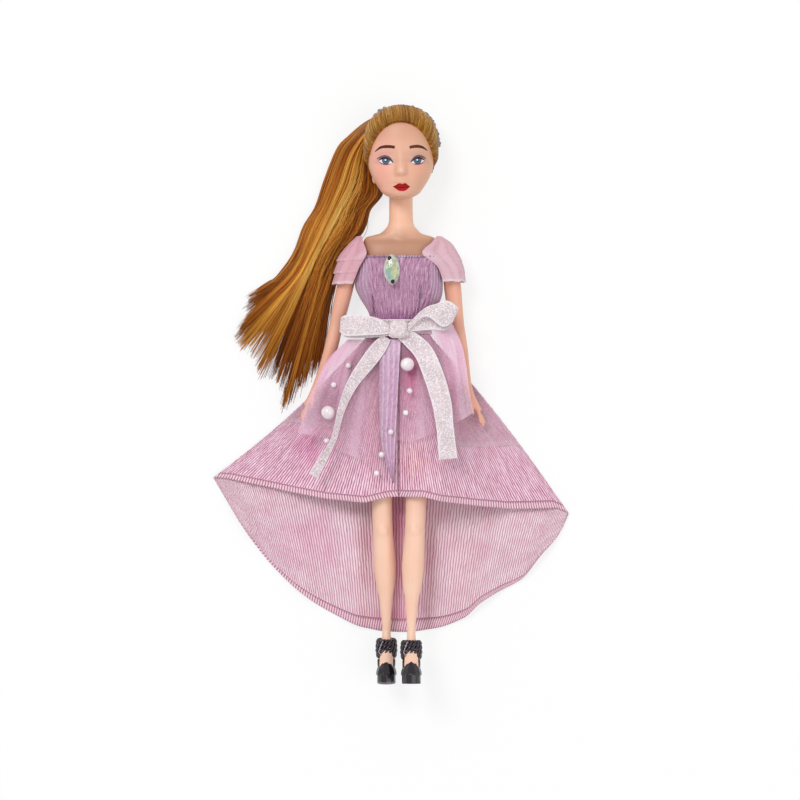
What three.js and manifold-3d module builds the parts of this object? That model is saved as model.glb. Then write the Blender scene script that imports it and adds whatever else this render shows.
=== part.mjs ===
// Fashion doll lying on its back in a high-low party dress.
// Millimetres. +Z is up and the doll's front, +Y runs towards the head, +X is the doll's left.
// The origin lies on the supporting surface, under the back panel of the skirt at the hips.
import * as THREE from 'three';
import { mergeVertices } from 'three/addons/utils/BufferGeometryUtils.js';
import Module from 'manifold-3d';

const wasm = await Module();
wasm.setup();

// Clearances and wall thicknesses
const seatGap = 0.35;
const runningGap = 0.4;
const shellWall = 2.2;
const fabricThickness = 0.8;
const tulleThickness = 0.5;
const ribbonThickness = 0.5;

// Heights along the body, measured from the origin
const crownY = 145;
const chinY = 99.5;
const neckTopY = 106;
const neckBaseY = 84.5;
const shoulderY = 76.5;
const armAxisY = 75.4;
const bodiceTopY = 70.6;
const bustY = 64;
const waistY = 39;
const hipY = 7.5;

// Trunk
const chestCentreX = -1;
const hipCentreX = -1.6;
const shoulderHalfWidth = 18.6;
const bustHalfWidth = 18.8;
const bustDepth = 22.8;
const waistHalfWidth = 12.6;
const waistDepth = 16.4;
const spineClearance = 4.5;
const hipHalfWidth = 18.4;
const neckRadius = 5.9;
const neckStemRadius = 3.8;
const neckKnobRadius = 5.2;

// Head
const headHalfWidth = 16.8;
const headDepth = 33;
const headWall = 2.4;
const noseLength = 2.6;
const hairThickness = 1.9;
const hairlineY = 136.3;
const hairlineSlopeDeg = 42;
const hairTieRadius = 5.2;
const hairTieThickness = 1.1;
const hairbandBeadRadius = 0.9;
const hairbandBeadCount = 17;
const hairbandWireRadius = 0.4;
const hairbandEndY = 121;

// Arms
const shoulderDrumRadius = 4.4;
const armPlugRadius = 2.2;
const armPlugHeadRadius = 3.3;
const upperArmRadius = 4.3;
const elbowRadius = 3.5;
const wristRadius = 2.2;
const fingerRadius = 0.85;
const fingerLength = 9;

// Legs
const hipDrumRadius = 10.2;
const crotchHalfWidth = 6;
const legPlugRadius = 2.6;
const legPlugHeadRadius = 4;
const plugHeadThickness = 1.4;
const hipWebHalfWidth = 2.2;
const thighHalfWidth = 7.7;
const thighDepth = 9.2;
const kneeHalfWidth = 5.1;
const calfHalfWidth = 5.5;
const ankleHalfWidth = 2.1;
const kneeDrop = 74;
const calfDrop = 90;
const ankleDrop = 123;
const toeDrop = 146;
const leftLegRaiseDeg = 6;

// Sandals
const cuffHalfWidth = 4.9;
const cuffHeight = 9;
const soleHalfWidth = 5.1;
const platformHeight = 5;
const heelRadius = 1.5;

// Bodice and sleeves
const bodiceGathers = 15;
const gatherDepth = 0.3;
const stripLength = 22;
const stripWidth = 6;
const stripThickness = 0.8;

// Skirt
const trainHemY = -117;
const rightCornerX = -95;
const rightCornerY = -39;
const leftCornerX = 84;
const leftCornerY = -57;
const frontHemY = -50;
const skirtWaistHalfWidth = 15.5;
const trainFolds = 6;
const trainFoldHeight = 3;
const frontFolds = 3;
const frontFoldHeight = 1.6;

// Overskirt, ribbon and trims
const overskirtFlare = 0.25;
const ribbonWidth = 9.6;
const waistBandHeight = 7.2;
const bowLoopReach = 30;
const bowLoopHeight = 6;
const knotHalfWidth = 5;
const rightTailEnd = new THREE.Vector2(-44, -37.5);
const leftTailEnd = new THREE.Vector2(23, -29);
const gemHalfLength = 7.7;
const gemHalfWidth = 4;
const gemHeight = 3;
const largePearlRadius = 3.4;
const smallPearlRadius = 1.4;

const colours = {
  skin: 0xf0c4a2,
  hair: 0xa46a28,
  lilac: 0xb98cb4,
  stripe: 0xd9a9bd,
  tulle: 0xcba3c0,
  ribbon: 0xe9dfe2,
  pearl: 0xf4ece8,
  gem: 0xbfe0cf,
  shoe: 0x2c2329,
  silver: 0xcfd0d6,
  strip: 0xe6e0e4,
};

// Places worked out from the driving dimensions
const bodyZ = fabricThickness + seatGap + hipDrumRadius;
const neckZ = bodyZ + 2;
const headBackZ = hairThickness;
const neckX = -0.5;
const bodiceInner = seatGap + gatherDepth;
const bodiceOuter = bodiceInner + fabricThickness;

// A distance beyond every part, for the blocks that cut them
const beyond = 200;

const doll = new THREE.Group();

// Geometry helpers

function meshVolume(positions, triangles) {
  let volume = 0;
  const a = new THREE.Vector3();
  const b = new THREE.Vector3();
  const c = new THREE.Vector3();
  for (let i = 0; i < triangles.length; i += 3) {
    a.fromArray(positions, triangles[i] * 3);
    b.fromArray(positions, triangles[i + 1] * 3);
    c.fromArray(positions, triangles[i + 2] * 3);
    volume += a.dot(b.cross(c));
  }
  return volume / 6;
}

// The faces of a closed mesh in the order that turns them outwards.
function facingOut(positions, triangles) {
  return meshVolume(positions, triangles) < 0 ? Array.from(triangles).reverse() : Array.from(triangles);
}

function closedGeometry(positions, triangles) {
  const geometry = new THREE.BufferGeometry();
  geometry.setAttribute('position', new THREE.Float32BufferAttribute(positions, 3));
  geometry.setIndex(facingOut(positions, triangles));
  geometry.computeVertexNormals();
  return geometry;
}

// A solid skin over rings of points, each ring with the same number of points.
function skinRings(rings) {
  const sides = rings[0].length;
  const positions = rings.flat().flatMap((p) => [p.x, p.y, p.z]);
  const triangles = [];
  for (let i = 0; i < rings.length - 1; i += 1) {
    for (let j = 0; j < sides; j += 1) {
      const k = (j + 1) % sides;
      const a = i * sides + j;
      const b = i * sides + k;
      const c = (i + 1) * sides + k;
      const d = (i + 1) * sides + j;
      triangles.push(a, b, c, a, c, d);
    }
  }
  for (const [ring, flip] of [[0, true], [rings.length - 1, false]]) {
    const centre = new THREE.Vector3();
    rings[ring].forEach((p) => centre.add(p));
    centre.divideScalar(sides);
    const hub = positions.length / 3;
    positions.push(centre.x, centre.y, centre.z);
    for (let j = 0; j < sides; j += 1) {
      const a = ring * sides + j;
      const b = ring * sides + ((j + 1) % sides);
      triangles.push(...(flip ? [hub, b, a] : [hub, a, b]));
    }
  }
  return closedGeometry(positions, triangles);
}

// A ring of points round a section [y, x, z, halfWidth, halfDepth, squareness].
// Squareness 1 is an ellipse, and lower values draw the section out towards its corners.
function sectionRing(section, sides, grow = () => 0) {
  const [y, x, z, halfWidth, halfDepth, squareness = 1] = section;
  const bulge = (value) => Math.sign(value) * Math.abs(value) ** squareness;
  const ring = [];
  for (let j = 0; j < sides; j += 1) {
    const angle = (2 * Math.PI * j) / sides;
    const more = grow(angle);
    const px = x + (halfWidth + more) * bulge(Math.cos(angle));
    ring.push(new THREE.Vector3(px, y, z + (halfDepth + more) * bulge(Math.sin(angle))));
  }
  return ring;
}

// Sections stacked along Y and skinned.
function loftAlongY(sections, sides, grow = 0) {
  return skinRings(sections.map((section) => sectionRing(section, sides, () => grow)));
}

// A sheet with thickness: outer and inner give the two faces for u and v from 0 to 1.
function slab(columns, rows, outer, inner) {
  const positions = [];
  for (const face of [outer, inner]) {
    for (let i = 0; i <= columns; i += 1) {
      for (let j = 0; j <= rows; j += 1) {
        const p = face(i / columns, j / rows);
        positions.push(p.x, p.y, p.z);
      }
    }
  }
  const at = (face, i, j) => face * (columns + 1) * (rows + 1) + i * (rows + 1) + j;
  const triangles = [];
  const quad = (a, b, c, d) => triangles.push(a, b, c, a, c, d);
  for (let i = 0; i < columns; i += 1) {
    for (let j = 0; j < rows; j += 1) {
      quad(at(0, i, j), at(0, i + 1, j), at(0, i + 1, j + 1), at(0, i, j + 1));
      quad(at(1, i, j), at(1, i, j + 1), at(1, i + 1, j + 1), at(1, i + 1, j));
    }
  }
  for (let i = 0; i < columns; i += 1) {
    quad(at(0, i, 0), at(1, i, 0), at(1, i + 1, 0), at(0, i + 1, 0));
    quad(at(0, i, rows), at(0, i + 1, rows), at(1, i + 1, rows), at(1, i, rows));
  }
  for (let j = 0; j < rows; j += 1) {
    quad(at(0, 0, j), at(0, 0, j + 1), at(1, 0, j + 1), at(1, 0, j));
    quad(at(0, columns, j), at(1, columns, j), at(1, columns, j + 1), at(0, columns, j + 1));
  }
  return closedGeometry(positions, triangles);
}

// A cloth sheet given by its upper face, with its underside never below the surface it lies on.
function clothSheet(columns, rows, upper, thickness) {
  const lower = (u, v) => {
    const p = upper(u, v);
    return new THREE.Vector3(p.x, p.y, Math.max(0, p.z - thickness));
  };
  return slab(columns, rows, upper, lower);
}

// A tube with a wall: rings of points outside and inside, open at both ends.
function tubeWall(outerRings, innerRings) {
  const sides = outerRings[0].length;
  const count = outerRings.length;
  const rings = [...outerRings, ...innerRings.slice().reverse()];
  const positions = rings.flat().flatMap((p) => [p.x, p.y, p.z]);
  const triangles = [];
  for (let i = 0; i < 2 * count; i += 1) {
    const next = (i + 1) % (2 * count);
    for (let j = 0; j < sides; j += 1) {
      const k = (j + 1) % sides;
      triangles.push(i * sides + j, i * sides + k, next * sides + k);
      triangles.push(i * sides + j, next * sides + k, next * sides + j);
    }
  }
  return closedGeometry(positions, triangles);
}

function toSolid(geometry) {
  const plain = geometry.clone();
  plain.deleteAttribute('normal');
  if (plain.attributes.uv) {
    plain.deleteAttribute('uv');
  }
  const merged = mergeVertices(plain, 1e-4);
  const positions = merged.attributes.position.array;
  const mesh = new wasm.Mesh({
    numProp: 3,
    vertProperties: new Float32Array(positions),
    triVerts: new Uint32Array(facingOut(positions, merged.index.array)),
  });
  return new wasm.Manifold(mesh);
}

function toGeometry(solid) {
  const mesh = solid.getMesh();
  const count = mesh.numProp;
  const positions = [];
  for (let i = 0; i < mesh.vertProperties.length; i += count) {
    positions.push(mesh.vertProperties[i], mesh.vertProperties[i + 1], mesh.vertProperties[i + 2]);
  }
  return closedGeometry(positions, Array.from(mesh.triVerts));
}

// A body of revolution about the X axis, from a profile of [radius, x] points.
function turnedAboutX(profile, segments) {
  const points = profile.map(([radius, x]) => new THREE.Vector2(radius, x));
  return new THREE.LatheGeometry(points, segments).rotateZ(-Math.PI / 2);
}

// A body of revolution about the Y axis, from a profile of [radius, y] points.
function turnedAboutY(profile, segments) {
  const points = profile.map(([radius, y]) => new THREE.Vector2(radius, y));
  return new THREE.LatheGeometry(points, segments);
}

function boxBetween(low, high) {
  const size = new THREE.Vector3().subVectors(high, low);
  const centre = new THREE.Vector3().addVectors(high, low).multiplyScalar(0.5);
  return new THREE.BoxGeometry(size.x, size.y, size.z).translate(centre.x, centre.y, centre.z);
}

function mix(a, b, t) {
  return a + (b - a) * t;
}

function smooth(t) {
  const s = Math.min(1, Math.max(0, t));
  return s * s * (3 - 2 * s);
}

function bell(x, width) {
  return Math.exp(-(x * x) / (2 * width * width));
}

function addPart(name, geometry, colour, finish = {}, parent = doll) {
  const material = new THREE.MeshStandardMaterial({ color: colour, roughness: 0.6, metalness: 0, ...finish });
  const mesh = new THREE.Mesh(geometry, material);
  mesh.name = name;
  parent.add(mesh);
  return mesh;
}

// Trunk: sections of the moulded torso, from the hip drums to the base of the neck

function trunkSections() {
  const ribY = mix(waistY, bustY, 0.5);
  const pelvisY = hipY + hipDrumRadius;
  const pelvisX = hipCentreX;
  const chestX = chestCentreX;
  const throatX = mix(chestX, neckX, 0.6);
  const seat = bodyZ - hipDrumRadius;
  const belly = bodyZ + hipDrumRadius;
  const spine = spineClearance;
  const lowerBackY = mix(pelvisY, waistY, 0.45);
  const waistFront = spine + waistDepth;
  const bustFront = spine + bustDepth;
  const rows = [
    [hipY + 3, pelvisX, seat + 1.4, belly - 1.6, hipHalfWidth - 0.6],
    [pelvisY, pelvisX, seat + 0.8, belly - 1.4, hipHalfWidth],
    [lowerBackY, pelvisX, mix(seat, spine, 0.5), belly - 1.2, mix(hipHalfWidth, waistHalfWidth, 0.4)],
    [waistY, chestX, spine, waistFront, waistHalfWidth],
    [ribY, chestX, spine, mix(waistFront, bustFront, 0.35), mix(waistHalfWidth, bustHalfWidth, 0.55)],
    [bustY - 4, chestX, spine, bustFront - 0.9, bustHalfWidth - 0.3],
    [bustY, chestX, spine, bustFront, bustHalfWidth],
    [bustY + 5, chestX, spine - 0.2, bustFront - 2.2, bustHalfWidth, 0.85],
    [shoulderY - 3, chestX, spine - 0.4, neckZ + 9, shoulderHalfWidth, 0.7],
    [shoulderY + 1, chestX, spine + 0.4, neckZ + 7.6, shoulderHalfWidth, 0.65],
    [shoulderY + 4.6, chestX, spine + 2.4, neckZ + 5.8, shoulderHalfWidth - 1.2, 0.7],
    [shoulderY + 6.8, throatX, neckZ - 6.2, neckZ + 6, shoulderHalfWidth * 0.56, 0.9],
    [neckBaseY + 0.6, neckX, neckZ - neckRadius - 0.5, neckZ + neckRadius + 0.5, neckRadius + 0.6],
  ];
  return rows.map(([y, x, back, front, halfWidth, squareness = 1]) => (
    [y, x, (back + front) / 2, halfWidth, (front - back) / 2, squareness]
  ));
}

function plugProfile(shaftRadius, headRadius, length, grow) {
  const headStart = length - plugHeadThickness;
  return [
    [0, -1],
    [shaftRadius + grow, -1],
    [shaftRadius + grow, headStart - grow],
    [headRadius + grow, headStart - grow],
    [headRadius * 0.7 + grow, length + grow],
    [0, length + grow],
  ];
}

const shoulderFaceX = shoulderHalfWidth + runningGap;
const crotchFaceX = crotchHalfWidth + runningGap;
const armPlugLength = shellWall + runningGap + plugHeadThickness;
const legPlugLength = crotchHalfWidth - 1;

// The plug of a limb, pointing inwards from its face; side is -1 for the right, +1 for the left.
function plug(side, faceX, centreX, y, z, shaftRadius, headRadius, length, grow = 0) {
  const profile = plugProfile(shaftRadius, headRadius, length, grow).map(([r, x]) => [r, -x]);
  const geometry = turnedAboutX(profile, 12);
  if (side < 0) {
    geometry.rotateY(Math.PI);
  }
  return toSolid(geometry.translate(centreX + side * faceX, y, z));
}

const shoulderZ = bodyZ + 1.2;

function torsoHalves() {
  const sections = trunkSections();
  let torso = toSolid(loftAlongY(sections, 18));
  const inner = sections.slice(2, 11).map(([y, x, z, w, d, square]) => (
    [y, x, z, w - shellWall, d - shellWall, square]
  ));
  const drumCut = turnedAboutX([
    [0, crotchHalfWidth],
    [hipDrumRadius + runningGap, crotchHalfWidth],
    [hipDrumRadius + runningGap, beyond],
    [0, beyond],
  ], 24);
  const drumCutRight = drumCut.clone().rotateY(Math.PI);
  for (const cut of [drumCut, drumCutRight]) {
    torso = torso.subtract(toSolid(cut.translate(hipCentreX, hipY, bodyZ)));
  }
  const thighRoom = boxBetween(
    new THREE.Vector3(hipWebHalfWidth, -beyond, 0),
    new THREE.Vector3(beyond, thighDepth + 2 * runningGap, beyond),
  );
  for (const turn of [0, Math.PI]) {
    const room = thighRoom.clone();
    if (turn) {
      room.scale(-1, 1, 1);
    }
    torso = torso.subtract(toSolid(room.translate(hipCentreX, hipY, bodyZ)));
  }
  const crotch = turnedAboutX([
    [0, -crotchHalfWidth],
    [hipDrumRadius - 1.5, -crotchHalfWidth],
    [hipDrumRadius - 0.2, -crotchHalfWidth + 1.5],
    [hipDrumRadius - 0.2, crotchHalfWidth - 1.5],
    [hipDrumRadius - 1.5, crotchHalfWidth],
    [0, crotchHalfWidth],
  ], 24);
  torso = torso.add(toSolid(crotch.translate(hipCentreX, hipY, bodyZ)));
  const neck = turnedAboutY([
    [0, neckBaseY - 4],
    [neckRadius + 0.5, neckBaseY - 4],
    [neckRadius + 0.2, neckBaseY + 3],
    [neckRadius, neckBaseY + 8],
    [neckRadius, neckTopY - seatGap],
    [neckStemRadius, neckTopY - seatGap],
    [neckStemRadius, neckTopY + headWall + seatGap],
    [neckKnobRadius, neckTopY + headWall + seatGap],
    [neckKnobRadius - 0.8, neckTopY + headWall + 2.6],
    [neckKnobRadius - 3, neckTopY + headWall + 4],
    [0, neckTopY + headWall + 4.4],
  ], 24);
  torso = torso.add(toSolid(neck.translate(neckX, 0, neckZ)));
  torso = torso.subtract(toSolid(loftAlongY(inner, 14)));
  for (const side of [-1, 1]) {
    torso = torso.subtract(plug(side, shoulderFaceX, chestCentreX, armAxisY, shoulderZ,
      armPlugRadius, armPlugHeadRadius, armPlugLength, runningGap));
    torso = torso.subtract(plug(side, crotchFaceX, hipCentreX, hipY, bodyZ,
      legPlugRadius, legPlugHeadRadius, legPlugLength, runningGap));
  }
  const halfGap = 0.15;
  const front = boxBetween(
    new THREE.Vector3(-beyond, -beyond, bodyZ + halfGap),
    new THREE.Vector3(beyond, beyond, beyond),
  );
  const back = boxBetween(
    new THREE.Vector3(-beyond, -beyond, -beyond),
    new THREE.Vector3(beyond, beyond, bodyZ - halfGap),
  );
  return {
    front: toGeometry(torso.intersect(toSolid(front))),
    back: toGeometry(torso.intersect(toSolid(back))),
  };
}

const torso = torsoHalves();
addPart('torso_front', torso.front, colours.skin, { roughness: 0.45 });
addPart('torso_back', torso.back, colours.skin, { roughness: 0.45 });

// Head: sections from the chin to the crown, with the face raised on the front

function headSections() {
  const span = crownY - chinY;
  const rows = [
    [0, 0.12, 0.84, 0.62],
    [0.02, 0.34, 0.93, 0.5],
    [0.075, 0.56, 0.965, 0.3],
    [0.13, 0.66, 0.975, 0.14],
    [0.2, 0.78, 0.97, 0.08],
    [0.27, 0.875, 0.965, 0.05],
    [0.36, 0.955, 0.955, 0.02],
    [0.46, 1, 0.955, 0],
    [0.58, 1, 0.965, 0],
    [0.68, 0.985, 0.965, 0.01],
    [0.78, 0.93, 0.94, 0.05],
    [0.87, 0.81, 0.88, 0.12],
    [0.94, 0.6, 0.77, 0.23],
    [0.985, 0.32, 0.64, 0.36],
    [1, 0.08, 0.53, 0.46],
  ];
  return rows.map(([t, width, front, back]) => {
    const halfDepth = ((front - back) * headDepth) / 2;
    const centre = headBackZ + ((front + back) * headDepth) / 2;
    return [chinY + t * span, neckX, centre, width * headHalfWidth, halfDepth];
  });
}

const noseY = chinY + 13;
const mouthY = chinY + 7;
const eyeY = chinY + 20.5;
const eyeOffsetX = 7.9;

// How far the face stands out at a place on the front of the head.
function faceRelief(x, y) {
  const dx = x - neckX;
  const bridge = 0.9 * bell(dx, 1.4) * bell(y - (noseY + 5), 3.6);
  const nose = noseLength * bell(dx, 1.7) * bell(y - noseY, 1.7);
  const lips = 1 * bell(dx, 3.4) * bell(y - mouthY, 1.7);
  const chin = 0.9 * bell(dx, 3.5) * bell(y - (chinY + 2), 1.8);
  const sockets = 1 * bell(Math.abs(dx) - eyeOffsetX, 3) * bell(y - eyeY, 2.6);
  return bridge + nose + lips + chin - sockets;
}

// Angles round the head, closer together on the face.
function headAngles(count) {
  const angles = [];
  for (let j = 0; j < count; j += 1) {
    const even = (2 * Math.PI * j) / count;
    angles.push(Math.PI / 2 + even + 0.5 * -Math.sin(even));
  }
  return angles;
}

function headGeometry(grow, withFace) {
  const angles = headAngles(20);
  const sections = headSections();
  const last = sections.length - 1;
  const rings = sections.map(([y, x, z, halfWidth, halfDepth], i) => {
    const lift = i === last ? grow : i === 0 ? -grow : 0;
    return angles.map((angle) => {
      const px = x + (halfWidth + grow) * Math.cos(angle);
      const front = Math.sin(angle) > 0 && withFace ? faceRelief(px, y) : 0;
      return new THREE.Vector3(px, y + lift, z + (halfDepth + grow) * Math.sin(angle) + front);
    });
  });
  return skinRings(rings);
}

function headParts() {
  let head = toSolid(headGeometry(0, true));
  const cavitySections = headSections().slice(3, 13).map(([y, x, z, w, d]) => (
    [y, x, z, w - headWall, d - headWall]
  ));
  cavitySections[0][0] = neckTopY + headWall;
  const cavity = toSolid(loftAlongY(cavitySections, 18));
  const recess = turnedAboutY([
    [0, chinY - 10],
    [neckRadius + runningGap, chinY - 10],
    [neckRadius + runningGap, neckTopY],
    [neckStemRadius + runningGap, neckTopY],
    [neckStemRadius + runningGap, neckTopY + headWall],
    [neckKnobRadius + runningGap, neckTopY + headWall],
    [neckKnobRadius + runningGap, neckTopY + headWall + 6],
    [0, neckTopY + headWall + 6],
  ], 24).translate(neckX, 0, neckZ);
  head = head.subtract(cavity).subtract(toSolid(recess));

  const scalpOuter = toSolid(headGeometry(hairThickness, false));
  const scalpInner = toSolid(headGeometry(seatGap, true));
  const cutter = boxBetween(new THREE.Vector3(-beyond, -beyond, 0), new THREE.Vector3(beyond, beyond, beyond));
  cutter.rotateX(THREE.MathUtils.degToRad(hairlineSlopeDeg));
  cutter.translate(0, hairlineY, headBackZ + 0.92 * headDepth);
  const napeRecess = turnedAboutY([
    [0, chinY - 10],
    [neckRadius + 2 * runningGap, chinY - 10],
    [neckRadius + 2 * runningGap, neckTopY + 4],
    [0, neckTopY + 4],
  ], 24).translate(neckX, 0, neckZ);
  const scalp = scalpOuter.subtract(scalpInner).subtract(toSolid(cutter)).subtract(toSolid(napeRecess));
  return { head: toGeometry(head), scalp: toGeometry(scalp) };
}

const headPieces = headParts();
addPart('head', headPieces.head, colours.skin, { roughness: 0.5 });
addPart('scalp_hair', headPieces.scalp, colours.hair, { roughness: 0.4 });

// Hair tie and ponytail, which lies on the surface beside the doll's right shoulder

const tailRoot = new THREE.Vector3(-17.2, 132.6, 10.4);
const tailDirection = new THREE.Vector3(-0.95, -0.15, -0.22).normalize();
const tailLocks = 7;

function hairTie() {
  const ring = new THREE.TorusGeometry(hairTieRadius, hairTieThickness, 8, 16);
  const turn = new THREE.Quaternion().setFromUnitVectors(new THREE.Vector3(0, 0, 1), tailDirection);
  const centre = tailRoot.clone().addScaledVector(tailDirection, 2.2);
  return ring.applyQuaternion(turn).translate(centre.x, centre.y, centre.z);
}

// Centre points of the tail, with its half width and half height there.
const tailStations = [
  [1.4, 3.2, 3.2],
  [2.6, 3.2, 3.2],
  [4.6, 3.8, 3.8],
].map(([along, width, height]) => {
  const p = tailRoot.clone().addScaledVector(tailDirection, along);
  return [p.x, p.y, p.z, width, height];
}).concat([
  [-25, 128, 8.2, 4.8, 5],
  [-27, 119.5, 7, 6.8, 6],
  [-28.6, 110, 5.6, 9.4, 5.8],
  [-31, 97, 5, 11.6, 5.2],
  [-40.6, 83, 4.9, 8.6, 5.1],
  [-46, 72, 4.7, 8.6, 4.9],
  [-50.5, 60, 4.3, 12.4, 4.5],
  [-57, 46, 3.9, 16.6, 4.1],
  [-61, 30, 3.3, 17, 3.5],
  [-60.5, 14, 2.4, 10.6, 2.6],
  [-59, -1, 1.3, 2.4, 1.4],
]);

function ponytail() {
  const path = new THREE.CatmullRomCurve3(tailStations.map(([x, y, z]) => new THREE.Vector3(x, y, z)));
  const sides = 2 * tailLocks;
  const rings = 25;
  const up = new THREE.Vector3(0, 0, 1);
  const list = [];
  for (let i = 0; i <= rings; i += 1) {
    const t = i / rings;
    const centre = path.getPoint(t);
    const across = path.getTangent(t).cross(up).normalize();
    const station = Math.min(tailStations.length - 2, Math.floor(t * (tailStations.length - 1)));
    const local = t * (tailStations.length - 1) - station;
    const halfWidth = mix(tailStations[station][3], tailStations[station + 1][3], smooth(local));
    const halfHeight = mix(tailStations[station][4], tailStations[station + 1][4], smooth(local));
    const ring = [];
    for (let j = 0; j < sides; j += 1) {
      const angle = (2 * Math.PI * j) / sides;
      const lock = 1 + 0.07 * smooth(t * 4) * Math.cos(angle * tailLocks);
      const p = centre.clone().addScaledVector(across, halfWidth * lock * Math.cos(angle));
      p.z = Math.max(0, p.z + halfHeight * lock * Math.sin(angle));
      ring.push(p);
    }
    list.push(ring);
  }
  return skinRings(list);
}

addPart('hair_tie', hairTie(), colours.hair, { roughness: 0.7 });
addPart('ponytail', ponytail(), colours.hair, { roughness: 0.4 });

// Hairband: a thin band over the crown with a row of beads

function hairband() {
  const bandZ = headBackZ + 0.3 * headDepth;
  const stand = 1.15 * (hairThickness + hairbandBeadRadius + seatGap);
  const side = [];
  for (const [y, , centreZ, halfWidth, halfDepth] of headSections()) {
    const off = (bandZ - centreZ) / halfDepth;
    if (y > hairbandEndY && Math.abs(off) < 1) {
      const rim = new THREE.Vector2(halfWidth * Math.sqrt(1 - off * off), y);
      const away = new THREE.Vector2(rim.x, y - hairbandEndY).setLength(stand);
      side.push(new THREE.Vector3(rim.x + away.x, rim.y + away.y, bandZ));
    }
  }
  const top = new THREE.Vector3(0, crownY + hairbandBeadRadius, bandZ);
  const clearOfTail = tailRoot.y + hairTieRadius + hairTieThickness;
  const other = side.filter((p) => p.y > clearOfTail).map((p) => new THREE.Vector3(-p.x, p.y, p.z));
  const arch = new THREE.CatmullRomCurve3([...side, top, ...other.reverse()]);
  const place = (t) => arch.getPointAt(Math.min(1, Math.max(0, t))).add(new THREE.Vector3(neckX, 0, 0));
  const ringsPerBead = 3;
  const count = hairbandBeadCount * ringsPerBead;
  const rings = [];
  for (let i = 0; i <= count; i += 1) {
    const centre = place(i / count);
    const along = place(i / count + 0.001).sub(place(i / count - 0.001)).normalize();
    const outward = new THREE.Vector3(along.y, -along.x, 0);
    const radius = i % ringsPerBead === 0 ? hairbandWireRadius : hairbandBeadRadius;
    const ring = [];
    for (let j = 0; j < 6; j += 1) {
      const angle = (Math.PI * j) / 3;
      const p = centre.clone().addScaledVector(outward, radius * Math.cos(angle));
      p.z += radius * Math.sin(angle);
      ring.push(p);
    }
    rings.push(ring);
  }
  return skinRings(rings);
}

addPart('hairband', hairband(), colours.silver, { roughness: 0.25, metalness: 0.8 });

// Arms: one stiff moulding each, with the shoulder drum, the plug and the hand

const rightArmPath = [
  [0, -21.6, 0],
  [-4.7, -24.4, -0.2],
  [-10.7, -26.6, -0.6],
  [-20.4, -28.8, -1.4],
  [-30.4, -31.2, -2.4],
  [-39.4, -33.3, -3],
  [-48.4, -35.4, -3],
  [-57.2, -38.2, -2.4],
  [-65.7, -41.6, -1.6],
  [-70.7, -43.8, -1.4],
];
const leftArmPath = [
  [0, 19.6, 0],
  [-4.7, 22.5, -0.2],
  [-10.7, 24.4, -0.6],
  [-20.4, 25.5, -1.4],
  [-30.4, 26.6, -2.4],
  [-39.4, 28, -3],
  [-48.4, 29.4, -3],
  [-58.4, 30.9, -2.4],
  [-67.9, 32.6, -1.6],
  [-73.4, 34.4, -1.4],
];
const armWidths = [
  upperArmRadius - 0.1,
  upperArmRadius + 0.2,
  upperArmRadius + 0.1,
  upperArmRadius,
  upperArmRadius - 0.3,
  elbowRadius,
  elbowRadius,
  mix(elbowRadius, wristRadius, 0.4),
  wristRadius + 0.2,
  wristRadius,
];

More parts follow.
